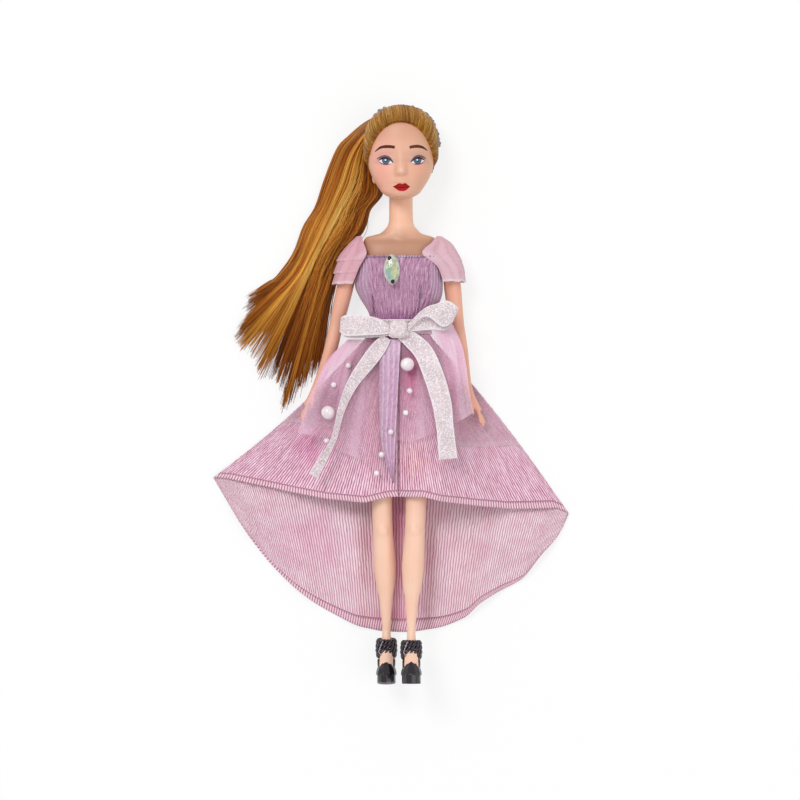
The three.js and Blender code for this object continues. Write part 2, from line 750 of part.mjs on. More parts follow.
function armSolid(side) {
  const path = side < 0 ? rightArmPath : leftArmPath;
  const sections = path.map(([dy, x, dz], i) => (
    [armAxisY + dy, x, shoulderZ + dz, armWidths[i], armWidths[i] * 1.06]
  ));
  const [wristY, wristX, wristZ] = sections.at(-1);
  const lean = side < 0 ? -0.48 : 0.5;
  const palmLength = 7.4;
  const palm = [
    [wristY, wristX, wristZ, wristRadius, wristRadius * 1.06],
    [wristY - 3, wristX + 3 * lean, wristZ, 2.1, 2.8],
    [wristY - 5.6, wristX + 5.6 * lean, wristZ, 2.2, 3.1],
    [wristY - palmLength, wristX + palmLength * lean, wristZ, 1.7, 2.9],
  ];
  let arm = toSolid(loftAlongY([...sections, ...palm.slice(1)], 12));
  const knuckleY = wristY - palmLength + 1;
  const knuckleX = wristX + (palmLength - 1) * lean;
  for (let i = 0; i < 4; i += 1) {
    const z = wristZ + (1.5 - i) * 1.35;
    const length = fingerLength * [0.84, 0.96, 1, 0.82][3 - i];
    const curl = side * -0.1 * length;
    arm = arm.add(toSolid(loftAlongY([
      [knuckleY, knuckleX, z, fingerRadius, fingerRadius],
      [knuckleY - length * 0.5, knuckleX + length * 0.5 * lean, z, fingerRadius, fingerRadius],
      [knuckleY - length * 0.94, knuckleX + length * 0.94 * lean + curl, z, fingerRadius * 0.8, fingerRadius * 0.8],
      [knuckleY - length, knuckleX + length * lean + curl, z, fingerRadius * 0.35, fingerRadius * 0.35],
    ], 5)));
  }
  const thumbX = wristX + 2.5 * lean - side * 0.8;
  arm = arm.add(toSolid(loftAlongY([
    [wristY - 1.5, thumbX, wristZ + 1.6, 1, 1.1],
    [wristY - 5, thumbX - side * 0.9 + 2 * lean, wristZ + 2.8, 0.95, 1],
    [wristY - 8.6, thumbX - side * 1.1 + 3.6 * lean, wristZ + 3.2, 0.7, 0.7],
    [wristY - 9.6, thumbX - side * 1.1 + 4 * lean, wristZ + 3.2, 0.3, 0.3],
  ], 5)));
  const drumProfile = [
    [0, shoulderFaceX],
    [shoulderDrumRadius - 0.5, shoulderFaceX],
    [shoulderDrumRadius, shoulderFaceX + 0.6],
    [shoulderDrumRadius, shoulderFaceX + 3],
    [shoulderDrumRadius * 0.8, shoulderFaceX + 5],
    [shoulderDrumRadius * 0.42, shoulderFaceX + 6.4],
    [0, shoulderFaceX + 6.8],
  ];
  const drum = turnedAboutX(drumProfile, 20);
  if (side < 0) {
    drum.rotateY(Math.PI);
  }
  arm = arm.add(toSolid(drum.translate(chestCentreX, armAxisY, shoulderZ)));
  const inner = boxBetween(
    new THREE.Vector3(chestCentreX - shoulderFaceX, -beyond, -beyond),
    new THREE.Vector3(chestCentreX + shoulderFaceX, beyond, beyond),
  );
  arm = arm.subtract(toSolid(inner));
  const bodiceFaceX = bustHalfWidth + bodiceOuter + gatherDepth + seatGap;
  const besideBodice = boxBetween(
    new THREE.Vector3(chestCentreX - bodiceFaceX, -beyond, -beyond),
    new THREE.Vector3(chestCentreX + bodiceFaceX, beyond, beyond),
  );
  const turningRoom = turnedAboutX([
    [0, -beyond],
    [shoulderDrumRadius, -beyond],
    [shoulderDrumRadius, beyond],
    [0, beyond],
  ], 20).translate(0, armAxisY, shoulderZ);
  arm = arm.subtract(toSolid(besideBodice).subtract(toSolid(turningRoom)));
  return arm.add(plug(side, shoulderFaceX, chestCentreX, armAxisY, shoulderZ,
    armPlugRadius, armPlugHeadRadius, armPlugLength));
}

addPart('arm_right', toGeometry(armSolid(-1)), colours.skin, { roughness: 0.45 });
addPart('arm_left', toGeometry(armSolid(1)), colours.skin, { roughness: 0.45 });

// Legs: measured from the hip axis, drop is the distance below it

function legSections(side) {
  const rows = [
    [-5, 10.8, 0, thighHalfWidth - 0.4, thighDepth - 0.6],
    [6, 10.2, 0, thighHalfWidth, thighDepth],
    [20, 9.7, 0, thighHalfWidth - 0.6, thighDepth - 0.8],
    [38, 9.1, -0.2, mix(thighHalfWidth, kneeHalfWidth, 0.5), 7],
    [kneeDrop - 14, 8.5, -0.4, kneeHalfWidth + 0.1, 6],
    [kneeDrop, 8, -0.5, kneeHalfWidth, 5.7],
    [calfDrop - 6, 7.4, -1.6, calfHalfWidth, 6],
    [calfDrop, 7.1, -2.2, calfHalfWidth + 0.05, 6.1],
    [calfDrop + 9, 6.8, -2.6, calfHalfWidth * 0.88, 5.2],
    [mix(calfDrop, ankleDrop, 0.52), 6.5, -2.8, mix(calfHalfWidth, ankleHalfWidth, 0.6), 3.8],
    [ankleDrop - 8, 6.3, -3, ankleHalfWidth + 0.6, 2.9],
    [ankleDrop, 6.2, -3, ankleHalfWidth, 2.6],
    [ankleDrop + 6, 6.2, -1.8, ankleHalfWidth + 0.5, 3.8],
    [ankleDrop + 11, 6.2, 2, ankleHalfWidth + 1.2, 3.6],
    [toeDrop - 6, 6.2, 6.6, ankleHalfWidth + 1.5, 2.7],
    [toeDrop - 3, 6.2, 8.8, ankleHalfWidth + 0.9, 1.6],
    [toeDrop - 2, 6.2, 9.6, 1.2, 0.7],
  ];
  return rows.map(([drop, x, z, w, d]) => [-drop, side * x, z, w, d]);
}

function legSolid(side) {
  let leg = toSolid(loftAlongY(legSections(side), 14));
  const outer = hipHalfWidth + 0.6;
  const drum = turnedAboutX([
    [0, crotchFaceX],
    [hipDrumRadius, crotchFaceX],
    [hipDrumRadius, outer - 6],
    [hipDrumRadius * 0.93, outer - 3],
    [hipDrumRadius * 0.7, outer - 0.8],
    [0, outer],
  ], 24);
  if (side < 0) {
    drum.rotateY(Math.PI);
  }
  leg = leg.add(toSolid(drum));
  const middle = turnedAboutX([
    [0, -crotchFaceX],
    [hipDrumRadius + runningGap, -crotchFaceX],
    [hipDrumRadius + runningGap, crotchFaceX],
    [0, crotchFaceX],
  ], 24);
  leg = leg.subtract(toSolid(middle));
  const above = boxBetween(new THREE.Vector3(-beyond, 0, -beyond), new THREE.Vector3(beyond, beyond, beyond));
  const keptAbove = toSolid(above).subtract(toSolid(turnedAboutX([
    [0, -beyond],
    [hipDrumRadius, -beyond],
    [hipDrumRadius, beyond],
    [0, beyond],
  ], 24)));
  leg = leg.subtract(keptAbove);
  const farSide = boxBetween(
    new THREE.Vector3(seatGap, -beyond, -beyond),
    new THREE.Vector3(beyond, beyond, beyond),
  );
  if (side > 0) {
    farSide.rotateY(Math.PI);
  }
  leg = leg.subtract(toSolid(farSide));
  return leg.add(plug(side, crotchFaceX, 0, 0, 0, legPlugRadius, legPlugHeadRadius, legPlugLength));
}

// Sandal: ankle cuff, two side straps, pointed vamp, lugged platform and block heel in one moulding

function shoeSolid(side) {
  const x = side * 6.2;
  const cuffTop = -(ankleDrop + 4.5);
  const cuffSections = [
    [cuffTop, x, -2.4, cuffHalfWidth - 0.6, cuffHalfWidth - 0.3],
    [cuffTop - cuffHeight * 0.22, x, -2.2, cuffHalfWidth + 0.4, cuffHalfWidth + 0.7],
    [cuffTop - cuffHeight * 0.44, x, -1.7, cuffHalfWidth - 0.1, cuffHalfWidth + 0.5],
    [cuffTop - cuffHeight * 0.7, x, -1, cuffHalfWidth + 0.5, cuffHalfWidth + 0.9],
    [cuffTop - cuffHeight, x, 0, cuffHalfWidth - 0.6, cuffHalfWidth],
  ];
  let shoe = toSolid(loftAlongY(cuffSections, 10));
  const soleTop = -(toeDrop - 3.2);
  const vamp = loftAlongY([
    [soleTop + 5.4, x, 5.2, 1, 2.6],
    [soleTop + 4, x, 5.8, 3, 4.1],
    [soleTop + 2, x, 6.4, soleHalfWidth - 0.6, 4.9],
    [soleTop, x, 7, soleHalfWidth, 5.4],
    [soleTop - 1.5, x, 7.4, soleHalfWidth + 0.1, 5.6],
  ], 10);
  shoe = shoe.add(toSolid(vamp));
  for (const across of [-1, 1]) {
    const strap = loftAlongY([
      [cuffTop - cuffHeight + 2, x + across * 3.4, 2.2, 1, 1.4],
      [soleTop + 5, x + across * 3.6, 3.8, 1, 1.6],
      [soleTop, x + across * 3.4, 4.4, 1, 1.6],
    ], 6);
    shoe = shoe.add(toSolid(strap));
    const heelStay = loftAlongY([
      [cuffTop - cuffHeight + 2, x + across * 2.6, -4, 1, 1.2],
      [soleTop + 4, x + across * 1.6, -4.6, 1.2, 1.4],
    ], 6);
    shoe = shoe.add(toSolid(heelStay));
  }
  const shank = loftAlongY([
    [soleTop + 9, x, -3.6, 2.6, 1.6],
    [soleTop + 5, x, -1.6, 3, 2.4],
    [soleTop + 1, x, 1.6, 3.6, 3.4],
    [soleTop - 1.4, x, 4.4, 4.4, 3.6],
  ], 10);
  shoe = shoe.add(toSolid(shank));
  const platform = new THREE.Shape();
  platform.absellipse(x, -7.4, soleHalfWidth - 0.4, 5.8, 0, 2 * Math.PI);
  const sole = new THREE.ExtrudeGeometry(platform, {
    depth: platformHeight,
    bevelEnabled: false,
    curveSegments: 6,
  }).rotateX(-Math.PI / 2).rotateX(Math.PI);
  const bottomY = soleTop - 0.8 - platformHeight;
  sole.computeBoundingBox();
  const soleBox = sole.boundingBox;
  sole.translate(0, bottomY - soleBox.min.y, 7.4 - (soleBox.min.z + soleBox.max.z) / 2);
  shoe = shoe.add(toSolid(sole));
  const lugDepth = 1.1;
  for (const lugZ of [5, 9.8]) {
    const groove = boxBetween(
      new THREE.Vector3(x - 12, bottomY - 1, lugZ - 0.45),
      new THREE.Vector3(x + 12, bottomY + lugDepth, lugZ + 0.45),
    );
    shoe = shoe.subtract(toSolid(groove));
  }
  const heel = loftAlongY([
    [soleTop + 7, x, -4.2, heelRadius + 1.2, heelRadius + 1],
    [soleTop + 2, x, -5, heelRadius + 0.4, heelRadius + 0.4],
    [bottomY + 1, x, -5.4, heelRadius, heelRadius],
    [bottomY, x, -5.4, heelRadius + 0.3, heelRadius + 0.3],
  ], 8);
  shoe = shoe.add(toSolid(heel));
  const foot = toSolid(loftAlongY(legSections(side).slice(9), 10, seatGap));
  return shoe.subtract(foot);
}

const raises = { right: 0, left: THREE.MathUtils.degToRad(leftLegRaiseDeg) };
for (const [name, side] of [['right', -1], ['left', 1]]) {
  const hip = new THREE.Group();
  hip.position.set(hipCentreX, hipY, bodyZ);
  hip.rotation.x = -raises[name];
  doll.add(hip);
  addPart(`leg_${name}`, toGeometry(legSolid(side)), colours.skin, { roughness: 0.45 }, hip);
  addPart(`shoe_${name}`, toGeometry(shoeSolid(side)), colours.shoe, { roughness: 0.25 }, hip);
}

// Bodice: a gathered tube over the chest, closed at the back

function bodyRing(section, grow, sides, gather) {
  return sectionRing(section, sides, (angle) => grow + gather * Math.cos((angle * sides) / 2));
}

// The trunk section at any height, between the listed ones.
function trunkAt(y) {
  const sections = trunkSections();
  for (let i = 0; i < sections.length - 1; i += 1) {
    if (y <= sections[i + 1][0]) {
      const t = (y - sections[i][0]) / (sections[i + 1][0] - sections[i][0]);
      const [low, high] = [sections[i], sections[i + 1]];
      return [0, 1, 2, 3, 4, 5].map((k) => mix(low[k] ?? 1, high[k] ?? 1, t));
    }
  }
  return sections.at(-1);
}

const waistBandY = waistY - 2.5;
const bodiceBottomY = waistBandY - waistBandHeight / 2 + 0.3;

function bodice() {
  const heights = [bodiceBottomY, waistY, mix(waistY, bustY, 0.5), bustY - 4, bustY, bustY + 5, bodiceTopY];
  const sides = 2 * bodiceGathers;
  const outer = heights.map((y) => bodyRing(trunkAt(y), bodiceOuter, sides, gatherDepth));
  const inner = heights.map((y) => bodyRing(trunkAt(y), bodiceInner, sides, gatherDepth));
  return tubeWall(outer, inner);
}

addPart('bodice', bodice(), colours.lilac, { roughness: 0.7 });

// Hook and loop strips that close the dress, one on the other behind the waist

const stripBottomY = waistBandY + waistBandHeight / 2 + seatGap;
const stripTopZ = spineClearance - bodiceOuter - gatherDepth - seatGap;
for (const [name, level] of [['closure_loop_strip', 0], ['closure_hook_strip', 1]]) {
  const top = stripTopZ - level * (stripThickness + seatGap);
  addPart(name, boxBetween(
    new THREE.Vector3(chestCentreX - stripWidth / 2, stripBottomY, top - stripThickness),
    new THREE.Vector3(chestCentreX + stripWidth / 2, stripBottomY + stripLength, top),
  ), colours.strip, { roughness: 0.9 });
}

// Waist ribbon over the bodice

const ribbonInner = bodiceOuter + gatherDepth + seatGap;

function waistRibbon() {
  const half = waistBandHeight / 2;
  const heights = [waistBandY - half, waistY, waistBandY + half];
  const sides = 24;
  const outer = heights.map((y) => bodyRing(trunkAt(y), ribbonInner + ribbonThickness, sides, 0));
  const inner = heights.map((y) => bodyRing(trunkAt(y), ribbonInner, sides, 0));
  return tubeWall(outer, inner);
}

addPart('waist_ribbon', waistRibbon(), colours.ribbon, { roughness: 0.5 });

// Skirt outline. Both skirts hang from the lower edge of the waist band.

const skirtTopY = waistBandY - waistBandHeight / 2 - seatGap;

const trainHem = new THREE.SplineCurve([
  new THREE.Vector2(rightCornerX, rightCornerY),
  new THREE.Vector2(-78, -67),
  new THREE.Vector2(-50, -98),
  new THREE.Vector2(-18.5, trainHemY + 2),
  new THREE.Vector2(0, trainHemY),
  new THREE.Vector2(31, trainHemY + 7),
  new THREE.Vector2(60, -90.5),
  new THREE.Vector2(79.5, -68),
  new THREE.Vector2(leftCornerX, leftCornerY),
]);

// Side seams run from the waist to the two hem corners.
function seamPoint(side, v) {
  const cornerX = side < 0 ? rightCornerX : leftCornerX;
  const cornerY = side < 0 ? rightCornerY : leftCornerY;
  const waistX = hipCentreX + side * skirtWaistHalfWidth;
  const bow = side < 0 ? -4 : 3.5;
  return new THREE.Vector2(mix(waistX, cornerX, v), mix(skirtTopY, cornerY, v) + bow * Math.sin(Math.PI * v));
}

function seamBow(u, v) {
  return mix(-4, 3.5, u) * Math.sin(Math.PI * v) * Math.abs(2 * u - 1) ** 2;
}

// Height of the cloth folds of the train: they rise towards the hem and die out under the body.
function trainFold(x, y, u) {
  const wave = 0.5 - 0.5 * Math.cos(2 * Math.PI * trainFolds * u);
  const besideLegs = smooth((Math.abs(x - hipCentreX) - 13) / 9);
  const cornerY = x < hipCentreX ? rightCornerY : leftCornerY;
  const cornerX = x < hipCentreX ? rightCornerX : leftCornerX;
  const hemLine = mix(frontHemY, cornerY, Math.min(1, (x - hipCentreX) / (cornerX - hipCentreX)));
  const beyondFront = smooth((hemLine - 4 - y) / 14);
  return trainFoldHeight * wave * besideLegs * beyondFront;
}

function trainTop(u, v) {
  const hem = trainHem.getPoint(u);
  const waistX = hipCentreX + mix(-1, 1, u) * skirtWaistHalfWidth;
  const x = mix(waistX, hem.x, v);
  const y = mix(skirtTopY, hem.y, v) + seamBow(u, v);
  return new THREE.Vector3(x, y, fabricThickness + trainFold(x, y, u));
}

addPart('skirt_back', clothSheet(30, 9, trainTop, fabricThickness), colours.stripe, { roughness: 0.8 });

// Front skirt: it falls from the waist over the thighs and down to the side seams

function thighTop(x, y) {
  const drop = Math.max(0, hipY - y);
  const near = trunkAt(Math.max(y, hipY + 3));
  const trunkTop = near[2] + near[4];
  const raise = drop * Math.tan(raises.left) * smooth((x - hipCentreX + 3) / 10);
  const legTop = bodyZ + mix(hipDrumRadius, 8.2, smooth((drop + 4) / 50)) + raise;
  return mix(trunkTop, legTop, smooth((hipY + 16 - y) / 16));
}

function bodyHalfWidth(y) {
  return mix(skirtWaistHalfWidth, hipHalfWidth + 2.5, smooth((skirtTopY - y) / 16));
}

const skirtRise = seatGap;

// Upper face of the front skirt over a place on the surface, and the seam line it comes down to.
function frontHeight(x, y, reach) {
  const side = Math.abs(x - hipCentreX);
  const half = bodyHalfWidth(y);
  const top = thighTop(x, y) + skirtRise + fabricThickness;
  const low = 2 * fabricThickness + seatGap;
  const t = Math.max(0, (side - half) / Math.max(4, reach - half));
  return low + (top - low) * (1 - Math.min(1, t)) ** 2.6;
}

function frontFold(u, v) {
  const wave = 0.5 - 0.5 * Math.cos(2 * Math.PI * frontFolds * u);
  return frontFoldHeight * wave * smooth(v * 1.5 - 0.3);
}

function frontPoint(side, u, v) {
  const seam = seamPoint(side, v);
  const gap = 0.2;
  const centreX = hipCentreX + side * gap;
  const centreY = mix(skirtTopY, frontHemY + 1.5, v);
  const x = mix(centreX, seam.x, u);
  const dip = -3 * Math.sin(Math.PI * u) * v;
  const y = mix(centreY, seam.y, u) + dip;
  return new THREE.Vector2(x, y);
}

function frontTop(side) {
  return (u, v) => {
    const p = frontPoint(side, u, v);
    const reach = Math.abs(seamPoint(side, v).x - hipCentreX);
    const edge = 1 - smooth((u - 0.75) / 0.25);
    const z = frontHeight(p.x, p.y, reach) + frontFold(u, v) * edge;
    return new THREE.Vector3(p.x, p.y, z);
  };
}

const frontColumns = 13;
const frontRows = 9;
for (const [name, side] of [['skirt_front_right', -1], ['skirt_front_left', 1]]) {
  const sheet = clothSheet(frontColumns, frontRows, frontTop(side), fabricThickness);
  addPart(name, sheet, colours.stripe, { roughness: 0.8 });
}

// Overskirt: sheer layers over the striped skirt, with the hands between the back and the front layers

function overskirtBase(x, y) {
  const side = Math.abs(x - hipCentreX);
  const half = bodyHalfWidth(y);
  const away = smooth((skirtTopY - y) / 14);
  const rise = skirtRise + fabricThickness + seatGap + away * (frontFoldHeight + tulleThickness + 2 * seatGap);
  return thighTop(x, y) + rise - overskirtFlare * Math.max(0, side - half);
}

// A sheet between an inner and an outer edge, both curves on the surface, lifted by height(x, y).
function layer(innerEdge, outerEdge, height, columns, rows, ripple) {
  const inner = new THREE.SplineCurve(innerEdge.map(([x, y]) => new THREE.Vector2(x, y)));
  const outer = new THREE.SplineCurve(outerEdge.map(([x, y]) => new THREE.Vector2(x, y)));
  const upper = (u, v) => {
    const a = inner.getPoint(v);
    const b = outer.getPoint(v);
    const x = mix(a.x, b.x, u);
    const y = mix(a.y, b.y, u);
    const fold = ripple * (0.5 - 0.5 * Math.cos(2 * Math.PI * 3 * u)) * v;
    return new THREE.Vector3(x, y, height(x, y) + tulleThickness + fold);
  };
  return clothSheet(columns, rows, upper, tulleThickness);
}

const layerRipple = 0.9;
const layerTop = skirtTopY - 2.4;
const frontLayers = {
  tulle_front_right: [
    [[-3.2, layerTop], [-4, 8], [-5, -14], [-8, -38]],
    [[-27, layerTop], [-39, 16], [-46.5, 0], [-52.5, -16.5]],
  ],
  tulle_front_left: [
    [[-2.6, layerTop], [-3.2, 12], [-3.4, -4], [-3, -19.5]],
    [[23, layerTop], [30.5, 22], [33.5, 6], [35.5, -7]],
  ],
};
for (const [name, [innerEdge, outerEdge]] of Object.entries(frontLayers)) {
  addPart(name, layer(innerEdge, outerEdge, overskirtBase, 10, 8, layerRipple), colours.tulle, { roughness: 0.8 });
}

const panelEndY = -41;
const panelLift = tulleThickness + layerRipple + seatGap;
addPart('tulle_centre_panel', layer(
  [[-2.4, layerTop], [-2.8, 0], [-3, panelEndY / 2], [-3.4, panelEndY]],
  [[-7.4, layerTop], [-8.4, 0], [-9.4, panelEndY / 2], [-11, panelEndY]],
  (x, y) => overskirtBase(x, y) + panelLift,
  4, 8, 0.4,
), colours.lilac, { roughness: 0.8 });

// The back layers lie on the front skirt, outside the thighs and under the hands. Each covers a
// stretch of the skirt's own grid, from column and row numbers.
function backLayer(side, firstColumn, lastColumn, firstRow, lastRow) {
  const below = frontTop(side);
  const upper = (u, v) => {
    const column = mix(firstColumn, lastColumn, u) / frontColumns;
    const row = mix(firstRow, lastRow, v) / frontRows;
    const p = below(column, row);
    return p.setZ(p.z + seatGap + tulleThickness);
  };
  return clothSheet(lastColumn - firstColumn, lastRow - firstRow, upper, tulleThickness);
}

addPart('tulle_back_right', backLayer(-1, 5, frontColumns, 1, 5), colours.tulle, { roughness: 0.8 });
addPart('tulle_back_left', backLayer(1, 5, frontColumns, 1, 6), colours.tulle, { roughness: 0.8 });

// Bow: knot, two loops and two tails over the overskirt

const bowY = waistBandY - 1.5;
const bowX = -1.7;
const bowSection = trunkAt(bowY);
const bowZ = bowSection[2] + bowSection[4] + ribbonInner + ribbonThickness + seatGap;
const knotHeight = 4.4;

addPart('bow_knot', loftAlongY([
  [bowY - 4.4, bowX, bowZ + knotHeight / 2, knotHalfWidth * 0.6, knotHeight * 0.36],
  [bowY - 3, bowX, bowZ + knotHeight / 2, knotHalfWidth, knotHeight / 2],
  [bowY, bowX, bowZ + knotHeight / 2, knotHalfWidth * 0.9, knotHeight / 2],
  [bowY + 3, bowX, bowZ + knotHeight / 2, knotHalfWidth, knotHeight / 2],
  [bowY + 4.4, bowX, bowZ + knotHeight / 2, knotHalfWidth * 0.6, knotHeight * 0.36],
], 14), colours.ribbon, { roughness: 0.5 });

// A loop goes out flat, turns at its tip and comes back over itself.
function bowLoop(side, reach, halfWidthY, tilt) {
  const start = knotHalfWidth + seatGap;
  const samples = [];
  const turns = 10;
  for (let i = 0; i <= turns; i += 1) {
    const angle = -Math.PI / 2 + (Math.PI * i) / turns;
    const swell = bowLoopHeight / 2;
    samples.push([reach - swell + swell * Math.cos(angle), swell + swell * Math.sin(angle)]);
  }
  const line = [[start, 1.2], [mix(start, reach, 0.45), 0.2], ...samples,
    [mix(start, reach, 0.45), bowLoopHeight * 0.94], [start, bowLoopHeight * 0.5]];
  const curve = new THREE.SplineCurve(line.map(([a, b]) => new THREE.Vector2(a, b)));
  const face = (offset) => (u, v) => {
    const p = curve.getPoint(u);
    const t = curve.getTangent(u);
    const out = p.x + offset * t.y;
    const lift = p.y - offset * t.x;
    const narrow = mix(0.5, 1, smooth((out - start) / 9));
    const y = bowY + (v - 0.5) * 2 * halfWidthY * narrow + tilt * (out - start);
    return new THREE.Vector3(bowX + side * out, y, bowZ + 0.2 + lift);
  };
  return slab(18, 2, face(ribbonThickness / 2), face(-ribbonThickness / 2));
}

addPart('bow_loop_right', bowLoop(-1, bowLoopReach, 4.8, 0.03), colours.ribbon, { roughness: 0.5 });
addPart('bow_loop_left', bowLoop(1, bowLoopReach, 5.6, 0.3), colours.ribbon, { roughness: 0.5 });

// A tail runs from under the knot to its cut end, over the overskirt.
// Each point has its place and the half width of the ribbon seen from the front.
function ribbonTail(points, lift, turn) {
  const curve = new THREE.CatmullRomCurve3(points.map((point) => new THREE.Vector3(...point)));
  const upper = (u, v) => {
    const p = curve.getPoint(u);
    const t = curve.getTangent(u).setZ(0).normalize();
    const wide = p.z;
    const x = p.x + (v - 0.5) * 2 * wide * t.y;
    const y = p.y - (v - 0.5) * 2 * wide * t.x;
    const z = overskirtBase(x, y) + lift + ribbonThickness + turn * v * smooth(u * 3);
    return new THREE.Vector3(x, y, z);
  };
  return clothSheet(14, 3, upper, ribbonThickness);
}

const tailLift = panelLift + tulleThickness + 0.4 + seatGap;
addPart('ribbon_tail_right', ribbonTail([
  [-8, 30, 2.2],
  [-15.5, 20.5, 3.8],
  [-24.5, 8, 2.8],
  [-29.9, -4.5, 1.8],
  [-33.4, -18.8, 1.4],
  [rightTailEnd.x, rightTailEnd.y, 2.4],
], tailLift, ribbonWidth * 0.3), colours.ribbon, { roughness: 0.5 });
addPart('ribbon_tail_left', ribbonTail([
  [1.6, 27.8, 2.2],
  [9, 22.6, ribbonWidth / 2],
  [14.75, 13.5, ribbonWidth / 2],
  [18.25, 1, ribbonWidth / 2],
  [21, -9.5, ribbonWidth / 2],
  [leftTailEnd.x, leftTailEnd.y, ribbonWidth / 2],
], tailLift, 0), colours.ribbon, { roughness: 0.5 });

// Gem: a pointed oval with a table and facets, sewn on the bodice

function gem() {
  const centre = new THREE.Vector2(-5, bustY + 0.4);
  const section = trunkAt(centre.y);
  const rise = section[4] + bodiceOuter + gatherDepth;
  const baseZ = section[2] + rise + seatGap;
  const outline = 12;
  const ring = (scale, z) => {
    const points = [];
    for (let i = 0; i < outline; i += 1) {
      const angle = (2 * Math.PI * i) / outline;
      const along = Math.sin(angle);
      const pointed = Math.cos(angle) * (1 - 0.28 * along * along);
      points.push(new THREE.Vector3(
        centre.x + scale * gemHalfWidth * pointed,
        centre.y + scale * gemHalfLength * along,
        z,
      ));
    }
    return points;
  };
  return skinRings([
    ring(0.94, baseZ),
    ring(1, baseZ + 0.8),
    ring(0.82, baseZ + gemHeight * 0.75),
    ring(0.5, baseZ + gemHeight),
  ]);
}

addPart('gem', gem(), colours.gem, { roughness: 0.1, metalness: 0.2 });

// Pearls, sewn on the front layers of the overskirt

const sewnOn = ['tulle_front_right', 'tulle_front_left', 'tulle_centre_panel'].map((name) => (
  doll.getObjectByName(name)
));
const plumb = new THREE.Raycaster();

function overskirtTop(x, y) {
  plumb.set(new THREE.Vector3(x, y, crownY), new THREE.Vector3(0, 0, -1));
  const hits = plumb.intersectObjects(sewnOn, false);
  return hits.length > 0 ? hits[0].point.z : -Infinity;
}

// The height at which a ball settles on the overskirt.
function settledZ(x, y, radius) {
  let z = -Infinity;
  for (const share of [0, 0.3, 0.6, 0.9]) {
    const away = share * radius;
    for (let i = 0; i < 8; i += 1) {
      const angle = (Math.PI * i) / 4;
      const top = overskirtTop(x + away * Math.cos(angle), y + away * Math.sin(angle));
      z = Math.max(z, top + Math.sqrt(radius * radius - away * away));
    }
  }
  return z + seatGap;
}

function addPearl(name, [x, y], radius, detail) {
  const sphere = new THREE.SphereGeometry(radius, detail, detail / 2).rotateX(Math.PI / 2);
  addPart(name, sphere.translate(x, y, settledZ(x, y, radius)), colours.pearl, { roughness: 0.2 });
}

const largePearls = [[2.6, 17.6], [-36.6, -6.2]];
const smallPearls = [
  [-26.5, 17], [-33.8, 7.5], [3.7, 4.5], [1.8, -6.3], [-5.6, -15.8], [-10.2, -26.9], [-12.6, -36.2], [-37.3, -20.3],
];
largePearls.forEach((place, i) => addPearl(`pearl_large_${i + 1}`, place, largePearlRadius, 12));
smallPearls.forEach((place, i) => addPearl(`pearl_small_${i + 1}`, place, smallPearlRadius, 8));

// Sleeves: tulle bands across the upper arms, from the front of the bodice to its back

// Section of a sleeve round the arm: distances outwards from the arm and above the shoulder.
const sleeveSection = new THREE.SplineCurve([
  new THREE.Vector2(-0.66, -0.86),
  new THREE.Vector2(0.1, -0.98),
  new THREE.Vector2(0.8, -0.6),
  new THREE.Vector2(1, 0.08),
  new THREE.Vector2(0.64, 0.78),
  new THREE.Vector2(-0.06, 1),
  new THREE.Vector2(-0.84, 1.24),
]);

// Levels of each sleeve: height along the body, inner and outer edge seen from the front, half depth.
const rightSleeveLevels = [
  [81.8, -20.4, -22.6, 3.4],
  [78.4, -19.4, -26, 5.9],
  [73, -17.8, -30.3, 7.2],
  [66, -21.4, -32.5, 7.2],
  [57.8, -25, -34, 6.8],
];
const leftSleeveLevels = [
  [81.8, 17.6, 19.8, 3.4],
  [78.4, 16.4, 24.4, 5.9],
  [73, 13.8, 27.8, 7.7],
  [66, 18.6, 30.4, 7.5],
  [59, 21.4, 31.4, 6.8],
];

function sleeve(levels) {
  const inmost = sleeveSection.points.at(-1).x;
  const last = levels.length - 1;
  const face = (grow) => (u, v) => {
    const p = sleeveSection.getPoint(u);
    const [y, innerX, outerX, halfDepth] = levels[Math.round(v * last)];
    const ruffle = 0.25 * Math.cos(u * Math.PI * 8) * v;
    const share = (p.x - inmost) / (1 - inmost);
    const x = mix(innerX, outerX, share) + Math.sign(outerX) * (grow + ruffle) * p.x;
    return new THREE.Vector3(x, y, shoulderZ + p.y * (halfDepth + ruffle + grow));
  };
  return slab(12, last, face(tulleThickness), face(0));
}

addPart('sleeve_right', sleeve(rightSleeveLevels), colours.tulle, { roughness: 0.8 });
addPart('sleeve_left', sleeve(leftSleeveLevels), colours.tulle, { roughness: 0.8 });

export default doll;
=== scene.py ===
"""Looks of a fashion doll in a high-low party dress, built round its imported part.

Lengths are millimetres until a mesh is made. +Z is up and the doll's front, +Y runs towards the head.
"right" and "left" are the doll's own, so right is -X.
"""

import math

import bmesh
import bpy
import numpy as np
from mathutils import Matrix, Vector, noise
from mathutils.bvhtree import BVHTree
from mathutils.geometry import delaunay_2d_cdt


